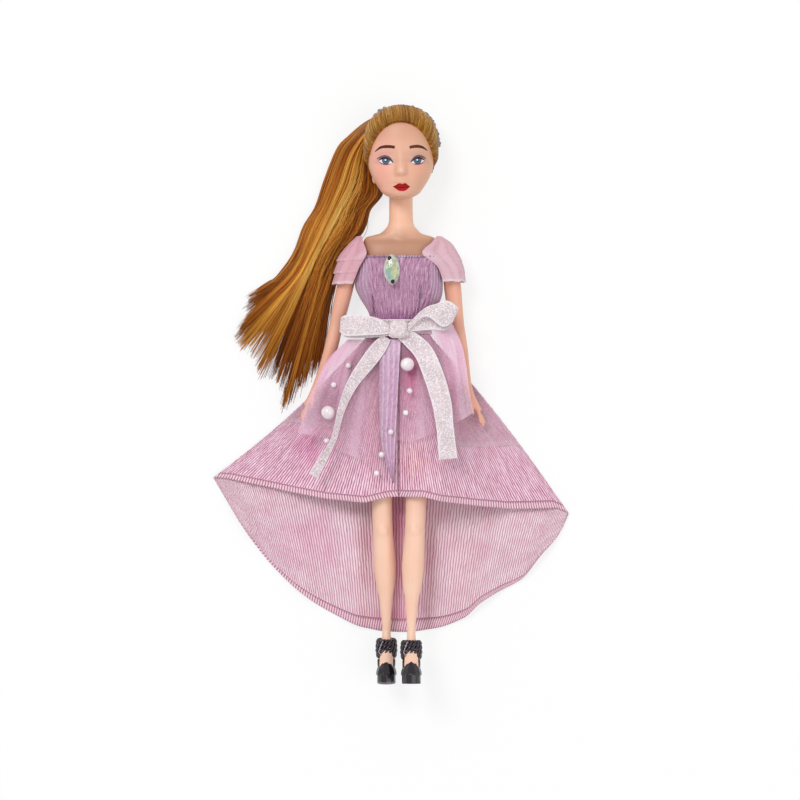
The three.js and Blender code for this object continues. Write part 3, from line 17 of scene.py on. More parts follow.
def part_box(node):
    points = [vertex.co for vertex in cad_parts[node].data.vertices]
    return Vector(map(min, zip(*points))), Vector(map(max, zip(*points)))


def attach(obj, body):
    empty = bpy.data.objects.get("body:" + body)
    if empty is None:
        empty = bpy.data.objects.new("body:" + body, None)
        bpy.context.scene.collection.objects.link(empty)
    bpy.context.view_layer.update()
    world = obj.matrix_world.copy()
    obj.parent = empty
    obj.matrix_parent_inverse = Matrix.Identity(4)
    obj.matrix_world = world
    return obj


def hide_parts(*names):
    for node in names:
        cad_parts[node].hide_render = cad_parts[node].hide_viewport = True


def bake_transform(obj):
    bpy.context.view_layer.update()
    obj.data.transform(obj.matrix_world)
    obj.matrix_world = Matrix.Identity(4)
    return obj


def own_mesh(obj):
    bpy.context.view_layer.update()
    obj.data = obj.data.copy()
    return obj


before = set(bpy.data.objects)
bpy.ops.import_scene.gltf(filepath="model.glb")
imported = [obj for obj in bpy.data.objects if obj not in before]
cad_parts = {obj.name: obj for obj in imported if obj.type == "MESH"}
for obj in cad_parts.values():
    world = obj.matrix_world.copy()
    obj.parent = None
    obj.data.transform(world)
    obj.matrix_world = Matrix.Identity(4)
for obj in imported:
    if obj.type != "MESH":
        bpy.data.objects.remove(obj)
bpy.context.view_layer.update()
SEED = 11
rng = np.random.default_rng(SEED)
MM = 0.001
SIDE_NAMES = {-1: "right", 1: "left"}

# Camera: straight above, 0.5 mm to a pixel on the plane through the middle of the doll
CAMERA_X = -1.0
CAMERA_RISE = 1200.0
PLANE_Z = 14.0
PIXEL = 0.5
IMAGE_HALF = 400

# Trunk and head
CROWN_Y, CHIN_Y, NECK_BASE_Y = 145.0, 99.5, 84.5
SHOULDER_Y, BODICE_TOP_Y, BUST_Y, WAIST_Y, HIP_Y = 76.5, 70.6, 64.0, 39.0, 7.5
ARM_AXIS_Y = 75.4
CHEST_X, HIP_X, NECK_X = -1.0, -1.6, -0.5
HIP_DRUM = 10.2
BODY_Z = 11.35
NECK_Z = 13.35
SHOULDER_Z = 12.55
NECK_RADIUS, NECK_FOOT_Y, NECK_TOP_Y = 5.9, 79.0, 105.6
CHEST_HALF, WAIST_BODY_HALF = 18.8, 12.6
HEAD_HALF_WIDTH, HEAD_DEPTH, HEAD_BACK_Z = 16.8, 33.0, 1.9
HAIR_THICKNESS = 1.9
HAIRLINE_Y, HAIRLINE_SLOPE = 136.3, math.radians(42)
SHOULDER_FACE = 19.0
CROTCH_FACE = 6.4
HIP_HALF_WIDTH = 18.4

# Cloth
SEAT_GAP = 0.35
FABRIC = 0.8
TULLE = 0.5
BODICE_GROW = 1.45
RIBBON_GROW = 2.1
BAND_Y, BAND_HEIGHT = 36.5, 7.2
SKIRT_TOP_Y = BAND_Y - BAND_HEIGHT / 2 - SEAT_GAP
WAIST_HALF = 15.5
HEM_CORNERS = {-1: (-95.0, -39.0), 1: (84.0, -57.0)}
SEAM_BOW = {-1: -4, 1: 3.5}
LEFT_RAISE = math.radians(6)


# Numbers and curves


def mix(a, b, t):
    return a + (b - a) * t


def smooth(t):
    """From 0 to 1 as t does, flat before and after."""
    s = np.clip(t, 0, 1)
    return s * s * (3 - 2 * s)


def bell(x, width):
    """1 at x = 0 and towards 0 beyond a few widths."""
    return np.exp(-(x * x) / (2 * width * width))


def through(knots, rows, at):
    """Values at the places asked for, on a smooth curve through rows that never overshoots them."""
    k = np.asarray(knots, float)
    v = np.asarray(rows, float)
    single = v.ndim == 1
    v = v[:, None] if single else v
    at = np.clip(np.asarray(at, float), k[0], k[-1])
    shape = at.shape
    at = at.ravel()
    h = np.diff(k)[:, None]
    d = np.diff(v, axis=0) / h
    m = np.zeros_like(v)
    product = d[:-1] * d[1:]
    total = d[:-1] + d[1:]
    safe = np.where(np.abs(total) < 1e-12, 1, total)
    m[1:-1] = np.where(product > 0, 2 * product / safe, 0)
    m[0], m[-1] = d[0], d[-1]
    i = np.clip(np.searchsorted(k, at, "right") - 1, 0, len(k) - 2)
    t = ((at - k[i]) / h[i, 0])[:, None]
    value = (
        (2 * t**3 - 3 * t**2 + 1) * v[i]
        + (t**3 - 2 * t**2 + t) * m[i] * h[i]
        + (3 * t**2 - 2 * t**3) * v[i + 1]
        + (t**3 - t**2) * m[i + 1] * h[i]
    )
    return value[:, 0].reshape(shape) if single else value.reshape(shape + (v.shape[1],))


def rounded(points, at, closed=False):
    """Points on the uniform Catmull-Rom curve through the given ones, for parameters from 0 to 1."""
    p = np.asarray(points, float)
    n = len(p)
    spans = n if closed else n - 1
    s = np.clip(np.asarray(at, float), 0, 1) * spans
    i = np.clip(np.floor(s).astype(int), 0, spans - 1)
    t = (s - i)[..., None]

    def pick(j):
        return p[j % n] if closed else p[np.clip(j, 0, n - 1)]

    a, b, c, d = pick(i - 1), pick(i), pick(i + 1), pick(i + 2)
    return b + 0.5 * t * (c - a + t * (2 * a - 5 * b + 4 * c - d + t * (3 * (b - c) + d - a)))


def spot(px, py, z):
    """The place at height z that the camera sees in a pixel of the 800 x 800 picture."""
    scale = PIXEL * (PLANE_Z + CAMERA_RISE - z) / CAMERA_RISE
    return CAMERA_X + (px - IMAGE_HALF) * scale, (IMAGE_HALF - py) * scale


def unit_grid(columns, rows):
    """Two arrays that run from 0 to 1, one over the columns and one over the rows."""
    return np.meshgrid(np.linspace(0, 1, columns), np.linspace(0, 1, rows), indexing="ij")


def ripple(x, y, scale, seed):
    """Smooth noise from -1 to 1 over the plane, for whole arrays."""
    flat = [noise.noise(Vector((a * scale, b * scale, seed))) for a, b in zip(np.ravel(x), np.ravel(y))]
    return np.asarray(flat).reshape(np.shape(x))


# Meshes


def mesh_object(name, verts, faces, look=None, uv=None, tone=None, shade=True):
    """An object from points in millimetres. uv and tone hold one value per point."""
    mesh = bpy.data.meshes.new(name)
    mesh.from_pydata((np.asarray(verts, float) * MM).tolist(), [], [tuple(map(int, f)) for f in faces])
    mesh.validate()
    obj = bpy.data.objects.new(name, mesh)
    bpy.context.collection.objects.link(obj)
    if look:
        mesh.materials.append(look.material)
    mesh.polygons.foreach_set("use_smooth", [shade] * len(mesh.polygons))
    if uv is not None:
        layer = mesh.uv_layers.new(name="UVMap")
        index = np.empty(len(mesh.loops), int)
        mesh.loops.foreach_get("vertex_index", index)
        layer.data.foreach_set("uv", np.asarray(uv, float)[index].ravel())
    if tone is not None:
        attribute = mesh.color_attributes.new("tone", "FLOAT_COLOR", "POINT")
        colours = np.ones((len(mesh.vertices), 4))
        colours[:, :3] = np.asarray(tone, float).reshape(len(mesh.vertices), -1)
        attribute.data.foreach_set("color", colours.ravel())
    return obj


def grid_faces(columns, rows, wrap=False):
    """Quads of a grid of points stored column by column."""
    i = np.arange(columns if wrap else columns - 1)
    j = np.arange(rows - 1)
    a, b = np.meshgrid(i, j, indexing="ij")
    nxt = (a + 1) % columns
    quads = np.stack([a * rows + b, nxt * rows + b, nxt * rows + b + 1, a * rows + b + 1], -1)
    return quads.reshape(-1, 4)


def ring_mesh(rings, capped=True):
    """Verts and faces of a skin over rings of points (rings, sides, 3), closed at both ends if capped."""
    rings = np.asarray(rings, float)
    count, sides = rings.shape[:2]
    verts = rings.reshape(-1, 3)
    i, j = np.meshgrid(np.arange(count - 1) * sides, np.arange(sides), indexing="ij")
    k = (j + 1) % sides
    quads = np.stack([i + j, i + k, i + sides + k, i + sides + j], -1).reshape(-1, 4)
    faces = [tuple(q) for q in quads]
    if capped:
        verts = np.vstack([verts, rings[0].mean(0), rings[-1].mean(0)])
        low, high = count * sides, count * sides + 1
        last = (count - 1) * sides
        for j in range(sides):
            k = (j + 1) % sides
            faces.append((low, k, j))
            faces.append((high, last + j, last + k))
    return verts, faces


def joined(parts):
    """Verts and faces of several parts as one."""
    verts, faces, start = [], [], 0
    for v, f in parts:
        verts.append(np.asarray(v, float))
        faces.extend(tuple(int(i) + start for i in face) for face in f)
        start += len(v)
    return np.vstack(verts), faces


def signed_volume(verts, faces):
    """Six times the volume inside the faces, negative where they are turned inward."""
    v = np.asarray(verts, float)
    total = 0.0
    for face in faces:
        for a, b in zip(face[1:-1], face[2:]):
            total += np.dot(v[face[0]], np.cross(v[a], v[b]))
    return total


def outward(part):
    """The same closed part with its faces turned outward."""
    verts, faces = part
    if signed_volume(verts, faces) < 0:
        faces = [tuple(reversed(f)) for f in faces]
    return verts, faces


def loft(sections, sides, count):
    """Rings over rows [y, x, z, halfWidth, halfDepth, squareness], smoothed between them."""
    rows = np.asarray([list(s) + [1.0] * (6 - len(s)) for s in sections], float)
    knots = np.concatenate([[0], np.cumsum(np.linalg.norm(np.diff(rows[:, :3], axis=0), axis=1))])
    at = np.linspace(0, knots[-1], count)
    y, x, z, w, d, square = through(knots, rows, at).T
    angle = np.linspace(0, 2 * np.pi, sides, endpoint=False)
    c, s = np.cos(angle), np.sin(angle)
    px = x[:, None] + w[:, None] * np.sign(c) * np.abs(c) ** square[:, None]
    pz = z[:, None] + d[:, None] * np.sign(s) * np.abs(s) ** square[:, None]
    return np.stack([px, np.broadcast_to(y[:, None], px.shape), pz], -1)


def ball(centre, radii, sides=20):
    """Verts and faces of an ellipsoid."""
    angle = np.linspace(0.02, np.pi - 0.02, sides // 2 + 2)
    turn = np.linspace(0, 2 * np.pi, sides, endpoint=False)
    a, t = np.meshgrid(angle, turn, indexing="ij")
    unit = np.stack([np.sin(a) * np.cos(t), np.cos(a), np.sin(a) * np.sin(t)], -1)
    return outward(ring_mesh(np.asarray(centre) + unit * np.asarray(radii)))


def applied(obj):
    """Puts the result of the object's modifiers into its mesh."""
    graph = bpy.context.evaluated_depsgraph_get()
    mesh = bpy.data.meshes.new_from_object(obj.evaluated_get(graph))
    obj.modifiers.clear()
    old = obj.data
    obj.data = mesh
    mesh.name = obj.name
    bpy.data.meshes.remove(old)


def shade_smooth(obj):
    """Smooth shading for every face."""
    obj.data.polygons.foreach_set("use_smooth", [True] * len(obj.data.polygons))


def melt(obj, voxel, rounds):
    """Makes one skin of an object's overlapping closed parts and smooths it for some rounds."""
    remesh = obj.modifiers.new("fuse", "REMESH")
    remesh.mode = "VOXEL"
    remesh.voxel_size = voxel * MM
    ease = obj.modifiers.new("ease", "SMOOTH")
    ease.iterations = rounds
    applied(obj)
    shade_smooth(obj)


def fused(name, parts, voxel, rounds, look):
    """One smooth skin round several overlapping closed parts."""
    obj = mesh_object(name, *joined([outward(p) for p in parts]), look)
    melt(obj, voxel, rounds)
    return obj


def tree_of(part):
    """A search tree over a part's faces, for rays."""
    verts, faces = part
    return BVHTree.FromPolygons([Vector(v) for v in verts], [tuple(map(int, f)) for f in faces])


def tubes(paths, radius, sides=4, taper=0.35):
    """Verts and faces of tubes along paths (n, points, 3), with each vert's path and place along it."""
    paths = np.asarray(paths, float)
    n, m = paths.shape[:2]
    step = np.gradient(paths, axis=1)
    step /= np.linalg.norm(step, axis=2, keepdims=True) + 1e-9
    up = np.array([0.13, 0.21, 0.97])
    across = np.cross(step, up)
    across /= np.linalg.norm(across, axis=2, keepdims=True) + 1e-9
    over = np.cross(across, step)
    t = np.linspace(0, 1, m)
    thinning = np.interp(t, [0, 0.75, 1], [1, 1, taper])
    size = np.broadcast_to(np.asarray(radius, float), (n,))[:, None] * thinning
    angle = np.linspace(0, 2 * np.pi, sides, endpoint=False)[:, None]
    ring = across[:, :, None] * np.cos(angle) + over[:, :, None] * np.sin(angle)
    verts = (paths[:, :, None] + ring * size[:, :, None, None]).reshape(-1, 3)
    a, i, j = np.meshgrid(np.arange(n), np.arange(m - 1), np.arange(sides), indexing="ij")
    k = (j + 1) % sides
    base = a * m * sides + i * sides
    quads = np.stack([base + j, base + k, base + sides + k, base + sides + j], -1).reshape(-1, 4)
    owner = np.repeat(np.arange(n), m * sides)
    along = np.tile(np.repeat(t, sides), n)
    return verts, quads, owner, along


def band_mesh(outer, inner):
    """Verts and faces of a closed band from two grids of points (around, across, 3): outside and inside."""
    columns, rows = outer.shape[:2]
    n = columns * rows
    grid = grid_faces(columns, rows, True)
    faces = [tuple(f) for f in grid] + [tuple(f[::-1] + n) for f in grid]
    for row in (0, rows - 1):
        for i in range(columns):
            j = (i + 1) % columns
            quad = (i * rows + row, j * rows + row, j * rows + row + n, i * rows + row + n)
            faces.append(quad if row else tuple(reversed(quad)))
    return outward((np.vstack([outer.reshape(-1, 3), inner.reshape(-1, 3)]), faces))


def sheet_object(name, points, look, thickness=0.0, uv=None, tone=None):
    """A cloth from a grid of points (columns, rows, 3). With a thickness its far face lies below it."""
    points = np.asarray(points, float)
    columns, rows = points.shape[:2]
    if uv is None:
        u, v = unit_grid(columns, rows)
        uv = np.stack([u, v], -1)
    uv = np.asarray(uv).reshape(-1, 2)
    verts = points.reshape(-1, 3)
    faces = grid_faces(columns, rows)
    a, b, c = verts[faces[:, 0]], verts[faces[:, 1]], verts[faces[:, 2]]
    if np.cross(b - a, c - a)[:, 2].sum() < 0:
        faces = faces[:, ::-1]
    if thickness:
        n = len(verts)
        lower = verts.copy()
        lower[:, 2] = np.maximum(lower[:, 2] - thickness, 0.02)
        edge = np.concatenate([
            np.arange(columns) * rows,
            (columns - 1) * rows + np.arange(1, rows),
            (np.arange(columns - 1)[::-1]) * rows + rows - 1,
            np.arange(1, rows - 1)[::-1],
        ])
        following = np.roll(edge, -1)
        rim = [(i, j, j + n, i + n) for i, j in zip(edge, following)]
        here, there = verts[edge], verts[following]
        if (here[:, 0] * there[:, 1] - there[:, 0] * here[:, 1]).sum() > 0:
            rim = [tuple(reversed(f)) for f in rim]
        verts = np.vstack([verts, lower])
        uv = np.vstack([uv, uv])
        if tone is not None:
            tone = np.vstack([np.asarray(tone).reshape(n, -1)] * 2)
        faces = [tuple(f) for f in faces] + [tuple(f[::-1] + n) for f in faces] + rim
    return mesh_object(name, verts, faces, look, uv=uv, tone=tone)


def settle(obj, body, slot, *nodes):
    """Hangs an object on its body in place of the nodes named. The slot is not used."""
    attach(obj, body)
    if nodes:
        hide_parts(*nodes)


# Materials


def rgb(r, g, b):
    """A linear colour from screen values 0 to 255."""
    out = []
    for c in (r, g, b):
        c /= 255
        out.append(c / 12.92 if c <= 0.04045 else ((c + 0.055) / 1.055) ** 2.4)
    return tuple(out) + (1.0,)


def rgb_array(r, g, b):
    """The same colour as an array of three values."""
    return np.array(rgb(r, g, b)[:3])


class Look:
    """A material of one main shader, with short ways to add pattern nodes to it."""

    def __init__(self, name, colour=None, **sockets):
        self.material = bpy.data.materials.new(name)
        self.material.use_nodes = True
        self.tree = self.material.node_tree
        self.main = self.tree.nodes["Principled BSDF"]
        if colour is not None:
            self.put("Base Color", colour)
        for key, value in sockets.items():
            self.put(key.replace("_", " ").title().replace("Ior", "IOR"), value)

    def feed(self, socket, value):
        """Links a socket to another node's output, or sets it to a constant."""
        if isinstance(value, bpy.types.NodeSocket):
            self.tree.links.new(value, socket)
        else:
            socket.default_value = value

    def put(self, key, value):
        self.feed(self.main.inputs[key], value)

    def node(self, kind, props=None, inputs=None):
        made = self.tree.nodes.new("ShaderNode" + kind)
        for key, value in (props or {}).items():
            setattr(made, key, value)
        for key, value in (inputs or {}).items():
            self.feed(made.inputs[key], value)
        return made

    def uv(self, stretch_u=1.0, stretch_v=1.0):
        inputs = {"Vector": self.node("UVMap").outputs["UV"], "Scale": (stretch_u, stretch_v, 1)}
        return self.node("Mapping", None, inputs).outputs["Vector"]

    def place(self):
        return self.node("TexCoord").outputs["Object"]

    def tone(self):
        return self.node("Attribute", {"attribute_name": "tone"}).outputs["Color"]

    def noise(self, scale, detail, vector, roughness=0.5):
        inputs = {"Scale": scale, "Detail": detail, "Roughness": roughness, "Vector": vector}
        return self.node("TexNoise", None, inputs).outputs["Fac"]

    def cells(self, scale, vector, output="Distance"):
        return self.node("TexVoronoi", None, {"Scale": scale, "Vector": vector}).outputs[output]

    def math(self, operation, *values, clamp=False):
        props = {"operation": operation, "use_clamp": clamp}
        return self.node("Math", props, dict(enumerate(values))).outputs[0]

    def ramp(self, factor, *stops):
        made = self.node("ValToRGB", None, {"Fac": factor})
        band = made.color_ramp.elements
        while len(band) < len(stops):
            band.new(0.5)
        for element, (place, colour) in zip(band, stops):
            element.position = place
            element.color = colour if isinstance(colour, tuple) else (colour, colour, colour, 1)
        return made.outputs["Color"]

    def blend(self, factor, a, b, mode="MIX"):
        props = {"data_type": "RGBA", "blend_type": mode}
        return self.node("Mix", props, {0: factor, 6: a, 7: b}).outputs[2]

    def split(self, vector):
        return self.node("SeparateXYZ", None, {"Vector": vector}).outputs

    def bump(self, height, strength, distance):
        made = self.node("Bump", None, {"Height": height, "Strength": strength, "Distance": distance * MM})
        self.put("Normal", made.outputs["Normal"])


def skin_look(name, colour, warm):
    """Moulded plastic with a second, warmer colour in soft patches."""
    look = Look(name, colour, roughness=0.42)
    patch = look.noise(45, 2, look.place())
    look.put("Base Color", look.blend(look.ramp(patch, (0.4, 0.0), (0.7, 1.0)), colour, warm))
    look.bump(look.noise(900, 2, look.place()), 0.05, 0.2)
    return look


torso_look = skin_look("torso_plastic", rgb(206, 156, 130), rgb(208, 158, 132))
up_the_body = torso_look.math("MULTIPLY", torso_look.split(torso_look.place())[1], 10)
torso_look.put("Base Color", torso_look.ramp(
    up_the_body, (0.79, rgb(190, 140, 113)), (0.87, rgb(242, 190, 160))))
arm_look = skin_look("arm_plastic", rgb(236, 178, 152), rgb(238, 170, 146))
leg_look = skin_look("leg_plastic", rgb(246, 205, 180), rgb(246, 197, 172))

head_look = Look("face_vinyl", rgb(238, 182, 156), roughness=0.48)
head_look.put("Base Color", head_look.tone())
head_look.bump(head_look.noise(700, 2, head_look.place()), 0.04, 0.2)


def paint_look(name, colour, rough=0.35):
    return Look(name, colour, roughness=rough, specular_ior_level=0.25)


hair_look = Look("hair_strands", roughness=0.42)
hair_look.put("Base Color", hair_look.tone())
hair_look.put("Specular IOR Level", 0.45)
hair_look.put("Specular Tint", rgb(255, 214, 150))

hair_base_look = Look("hair_mass", roughness=0.55)
streak = hair_base_look.noise(1.0, 5, hair_base_look.uv(70, 2.2), 0.65)
hair_base_look.put("Base Color", hair_base_look.ramp(
    streak, (0.3, rgb(96, 48, 12)), (0.5, rgb(142, 86, 28)), (0.72, rgb(194, 140, 60))))
hair_base_look.put("Specular Tint", rgb(255, 214, 150))
hair_base_look.bump(streak, 0.5, 0.4)


def ribbed_look(name, light, dark, stripes):
    """Cloth with fine ribs along v: stripes is their number over u from 0 to 1."""
    look = Look(name, roughness=0.62)
    x = look.split(look.uv())[0]
    wander = look.noise(5, 2, look.uv(14, 4))
    turn = look.math("ADD", look.math("MULTIPLY", x, stripes), look.math("MULTIPLY", wander, 0.8))
    wave = look.math("SINE", look.math("MULTIPLY", turn, 2 * math.pi))
    level = look.math("MULTIPLY_ADD", wave, 0.5, 0.5)
    body = look.ramp(level, (0.1, dark), (0.62, light), (1.0, light))
    glow = look.noise(3.2, 3, look.uv(5, 3))
    body = look.blend(look.ramp(glow, (0.35, 0.0), (0.75, 0.5)), body, rgb(236, 190, 208), "MULTIPLY")
    look.put("Base Color", look.blend(1.0, body, look.tone(), "MULTIPLY"))
    grain = look.noise(2600, 2, look.place())
    look.bump(look.math("ADD", level, look.math("MULTIPLY", grain, 0.35)), 0.75, 0.5)
    return look


FRONT_RIBS, TRAIN_RIBS = 66, 150
skirt_look = ribbed_look("ribbed_skirt", rgb(254, 222, 236), rgb(188, 114, 150), FRONT_RIBS)
train_look = ribbed_look("ribbed_train", rgb(250, 228, 236), rgb(204, 152, 172), TRAIN_RIBS)


def hem_look(name, stripes, edge):
    """The turned hem of the ribbed cloth, with a stitched line along its upper edge at v."""
    look = Look(name, roughness=0.6)
    x, y, _ = look.split(look.uv())
    turn = look.math("ADD", look.math("MULTIPLY", x, stripes), look.math("MULTIPLY", y, 26.0))
    wave = look.math("SINE", look.math("MULTIPLY", turn, 2 * math.pi))
    level = look.math("MULTIPLY_ADD", wave, 0.5, 0.5)
    ribs = look.ramp(level, (0.1, rgb(178, 108, 138)), (0.55, rgb(244, 208, 220)))
    line = look.ramp(y, (edge, 1.0), (edge + 0.006, 0.0))
    look.put("Base Color", look.blend(look.math("MULTIPLY", line, 0.6), ribs, rgb(140, 74, 104)))
    look.bump(wave, 0.5, 0.3)
    return look


front_hem_look = hem_look("front_hem_band", FRONT_RIBS, 0.964)
train_hem_look = hem_look("train_hem_band", TRAIN_RIBS, 0.96)


def net_look(name, colour, alpha, sparkle=0.5, lifted=rgb(222, 190, 208)):
    """Sheer net with fine glitter. The tone of a point adds cover (red), paleness (green) and pink (blue)."""
    look = Look(name, colour, roughness=0.55)
    extra, pale, pink = look.split(look.tone())
    dots = look.cells(1150, look.place())
    glint = look.math("LESS_THAN", dots, 0.15)
    lift = look.noise(60, 2, look.place())
    base = look.blend(look.ramp(lift, (0.3, 0.0), (0.8, 0.8)), colour, lifted)
    base = look.blend(pale, base, rgb(234, 218, 228))
    base = look.blend(pink, base, rgb(206, 96, 146))
    look.put("Base Color", look.blend(look.math("MULTIPLY", glint, sparkle), base, rgb(250, 246, 252)))
    weave = look.noise(900, 1, look.place())
    cover = look.math("ADD", look.math("MULTIPLY", weave, 0.3), alpha - 0.15)
    cover = look.math("ADD", cover, extra)
    look.put("Alpha", look.math("ADD", cover, look.math("MULTIPLY", glint, 0.35), clamp=True))
    look.bump(weave, 0.2, 0.2)
    return look


tulle_front_look = net_look("front_net", rgb(228, 172, 202), 0.24, 0.7, rgb(226, 186, 208))
tulle_back_look = net_look("back_net", rgb(216, 180, 192), 0.34)
sleeve_look = net_look("sleeve_net", rgb(212, 158, 170), 0.86, 0.25, rgb(216, 172, 182))
panel_look = net_look("panel_net", rgb(206, 164, 196), 0.9, 0.4, rgb(220, 190, 212))


def glitter_look(name, colour, shade, fleck, dark):
    """Satin ribbon with fine silver glitter and brighter woven edges along v."""
    look = Look(name, colour, roughness=0.4)
    pick = look.split(look.cells(2300, look.place(), output="Color"))[0]
    soft = look.noise(130, 2, look.place())
    base = look.blend(look.ramp(soft, (0.3, 0.0), (0.7, 1.0)), shade, colour)
    base = look.blend(look.math("MULTIPLY", look.math("LESS_THAN", pick, 0.16), 0.55), base, dark)
    base = look.blend(look.math("MULTIPLY", look.math("GREATER_THAN", pick, 0.8), 0.8), base, fleck)
    across = look.math("ABSOLUTE", look.math("SUBTRACT", look.split(look.uv())[1], 0.5))
    rim = look.ramp(across, (0.41, 0.0), (0.45, 0.8))
    look.put("Base Color", look.blend(rim, base, rgb(240, 232, 236)))
    look.bump(look.cells(2300, look.place()), 0.5, 0.15)
    return look


def crinkled_look():
    """Bodice cloth: fine crinkles along the body with painted shade in their valleys and painted highlights
    on their ridges, tiny glitter, and smoother paler panels at the sides.
    """
    look = Look("bodice_cloth", roughness=0.55)
    crinkle = look.noise(1.0, 4, look.uv(260, 9), 0.6)
    # Dark and pale along the crinkles: painted shade and painted highlight.
    body = look.ramp(crinkle, (0.3, rgb(132, 80, 116)), (0.5, rgb(190, 138, 170)), (0.7, rgb(224, 182, 212)))
    side = look.math("ABSOLUTE", look.math("SUBTRACT", look.split(look.place())[0], CHEST_X * MM))
    panel = look.ramp(look.math("MULTIPLY", side, 40), (0.58, 0.0), (0.66, 1.0))
    body = look.blend(look.math("MULTIPLY", panel, 0.6), body, rgb(198, 166, 190))
    dots = look.cells(1900, look.place())
    glint = look.math("LESS_THAN", dots, 0.2)
    body = look.blend(1.0, body, look.tone(), "MULTIPLY")
    look.put("Base Color", look.blend(look.math("MULTIPLY", glint, 0.7), body, rgb(246, 236, 246)))
    look.bump(crinkle, 0.6, 0.35)
    return look


bodice_look = crinkled_look()
ribbon_look = glitter_look(
    "glitter_ribbon", rgb(230, 214, 217), rgb(212, 194, 198), rgb(248, 246, 250), rgb(172, 160, 170))
pearl_look = Look("pearl", rgb(240, 232, 234), roughness=0.16, coat_weight=0.5)
pearl_look.put("Base Color", pearl_look.ramp(
    pearl_look.noise(160, 2, pearl_look.place()), (0.35, rgb(232, 214, 222)), (0.65, rgb(248, 242, 240))))
bead_look = Look("silver_beads", rgb(142, 138, 142), roughness=0.22, metallic=0.85)
shoe_look = Look("shoe_gloss", rgb(26, 20, 28), roughness=0.2, coat_weight=0.25)
shoe_look.put("Base Color", shoe_look.blend(shoe_look.tone(), rgb(26, 20, 28), rgb(112, 104, 108)))
shoe_look.bump(shoe_look.noise(420, 3, shoe_look.place()), 0.3, 0.4)
cord_look = Look("shoe_cord", rgb(38, 29, 40), roughness=0.2, coat_weight=0.4)
tape_look = Look("closure_tape", rgb(226, 216, 224), roughness=0.9)
gem_look = Look("faceted_gem", rgb(200, 224, 214), roughness=0.12, coat_weight=0.6)
cell = gem_look.split(gem_look.cells(620, gem_look.place(), output="Color"))[1]
mosaic = gem_look.ramp(cell, (0.0, rgb(84, 120, 112)), (0.35, rgb(186, 188, 136)),
                       (0.6, rgb(138, 134, 144)), (0.85, rgb(212, 214, 204)))
gem_look.put("Base Color", gem_look.blend(0.5, mosaic, gem_look.tone()))
gem_hole_shade_look = Look("gem_hole_shade", rgb(44, 26, 36), roughness=0.7)


# Trunk, limbs and head


def trunk_sections():
    """Rows y, x, z, halfWidth, halfDepth and squareness, from rows with the back and front heights."""
    pelvis_y = HIP_Y + HIP_DRUM
    seat, belly, spine = BODY_Z - HIP_DRUM, BODY_Z + HIP_DRUM, 4.5
    waist_front, bust_front = spine + 16.4, spine + 22.8
    throat = mix(CHEST_X, NECK_X, 0.6)
    rows = [
        [HIP_Y + 3, HIP_X, seat + 1.4, belly - 1.6, HIP_HALF_WIDTH - 0.6],
        [pelvis_y, HIP_X, seat + 0.8, belly - 1.4, HIP_HALF_WIDTH],
        [mix(pelvis_y, WAIST_Y, 0.45), HIP_X, mix(seat, spine, 0.5), belly - 1.2,
         mix(HIP_HALF_WIDTH, WAIST_BODY_HALF, 0.4)],
        [WAIST_Y, CHEST_X, spine, waist_front, WAIST_BODY_HALF],
        [mix(WAIST_Y, BUST_Y, 0.5), CHEST_X, spine, mix(waist_front, bust_front, 0.35),
         mix(WAIST_BODY_HALF, CHEST_HALF, 0.55)],
        [BUST_Y - 4, CHEST_X, spine, bust_front - 0.9, CHEST_HALF - 0.3],
        [BUST_Y, CHEST_X, spine, bust_front, CHEST_HALF],
        [BUST_Y + 5, CHEST_X, spine - 0.2, bust_front - 2.2, CHEST_HALF, 0.85],
        [SHOULDER_Y - 3, CHEST_X, spine - 0.4, NECK_Z + 9, CHEST_HALF - 0.2, 0.7],
        [SHOULDER_Y + 1, CHEST_X, spine + 0.4, NECK_Z + 7.6, CHEST_HALF - 0.2, 0.65],
        [SHOULDER_Y + 4.6, CHEST_X, spine + 2.4, NECK_Z + 5.8, 17.4, 0.7],
        [SHOULDER_Y + 6.8, throat, NECK_Z - 6.2, NECK_Z + 6, 10.4, 0.9],
        [NECK_BASE_Y + 0.8, NECK_X, NECK_Z - 6.3, NECK_Z + 6.2, 8.2],
        [NECK_BASE_Y + 2.6, NECK_X, NECK_Z - 6.1, NECK_Z + 6.1, 6.7],
        [NECK_BASE_Y + 5.0, NECK_X, NECK_Z - 6.0, NECK_Z + 6.0, 6.0],
    ]
    return [
        [y, x, (back + front) / 2, half, (front - back) / 2, *(square or [1.0])]
        for y, x, back, front, half, *square in rows
    ]


TRUNK = np.asarray(trunk_sections())


def trunk_at(y):
    """Columns x, z, halfWidth, halfDepth and squareness of the trunk at heights y."""
    return through(TRUNK[:, 0], TRUNK[:, 1:], y)


def trunk_ring(y, angle, grow):
    """Points round the trunk at heights y, raised off its skin by grow."""
    x, z, w, d, square = np.moveaxis(trunk_at(y), -1, 0)
    c, s = np.cos(angle), np.sin(angle)
    px = x + (w + grow) * np.sign(c) * np.abs(c) ** square
    pz = z + (d + grow) * np.sign(s) * np.abs(s) ** square
    return np.stack([px, np.broadcast_to(y, px.shape), pz], -1)


def turned(profile, axis, centre, sides=40, flip=1):
    """A closed body of revolution about axis 0 or 1 from [radius, along] points."""
    angle = np.linspace(0, 2 * np.pi, sides, endpoint=False)
    rings = []
    for radius, along in profile:
        ring = np.zeros((sides, 3))
        ring[:, axis] = along * flip
        ring[:, 1 - axis] = max(radius, 0.01) * np.cos(angle)
        ring[:, 2] = max(radius, 0.01) * np.sin(angle)
        rings.append(ring + np.asarray(centre))
    return outward(ring_mesh(rings))


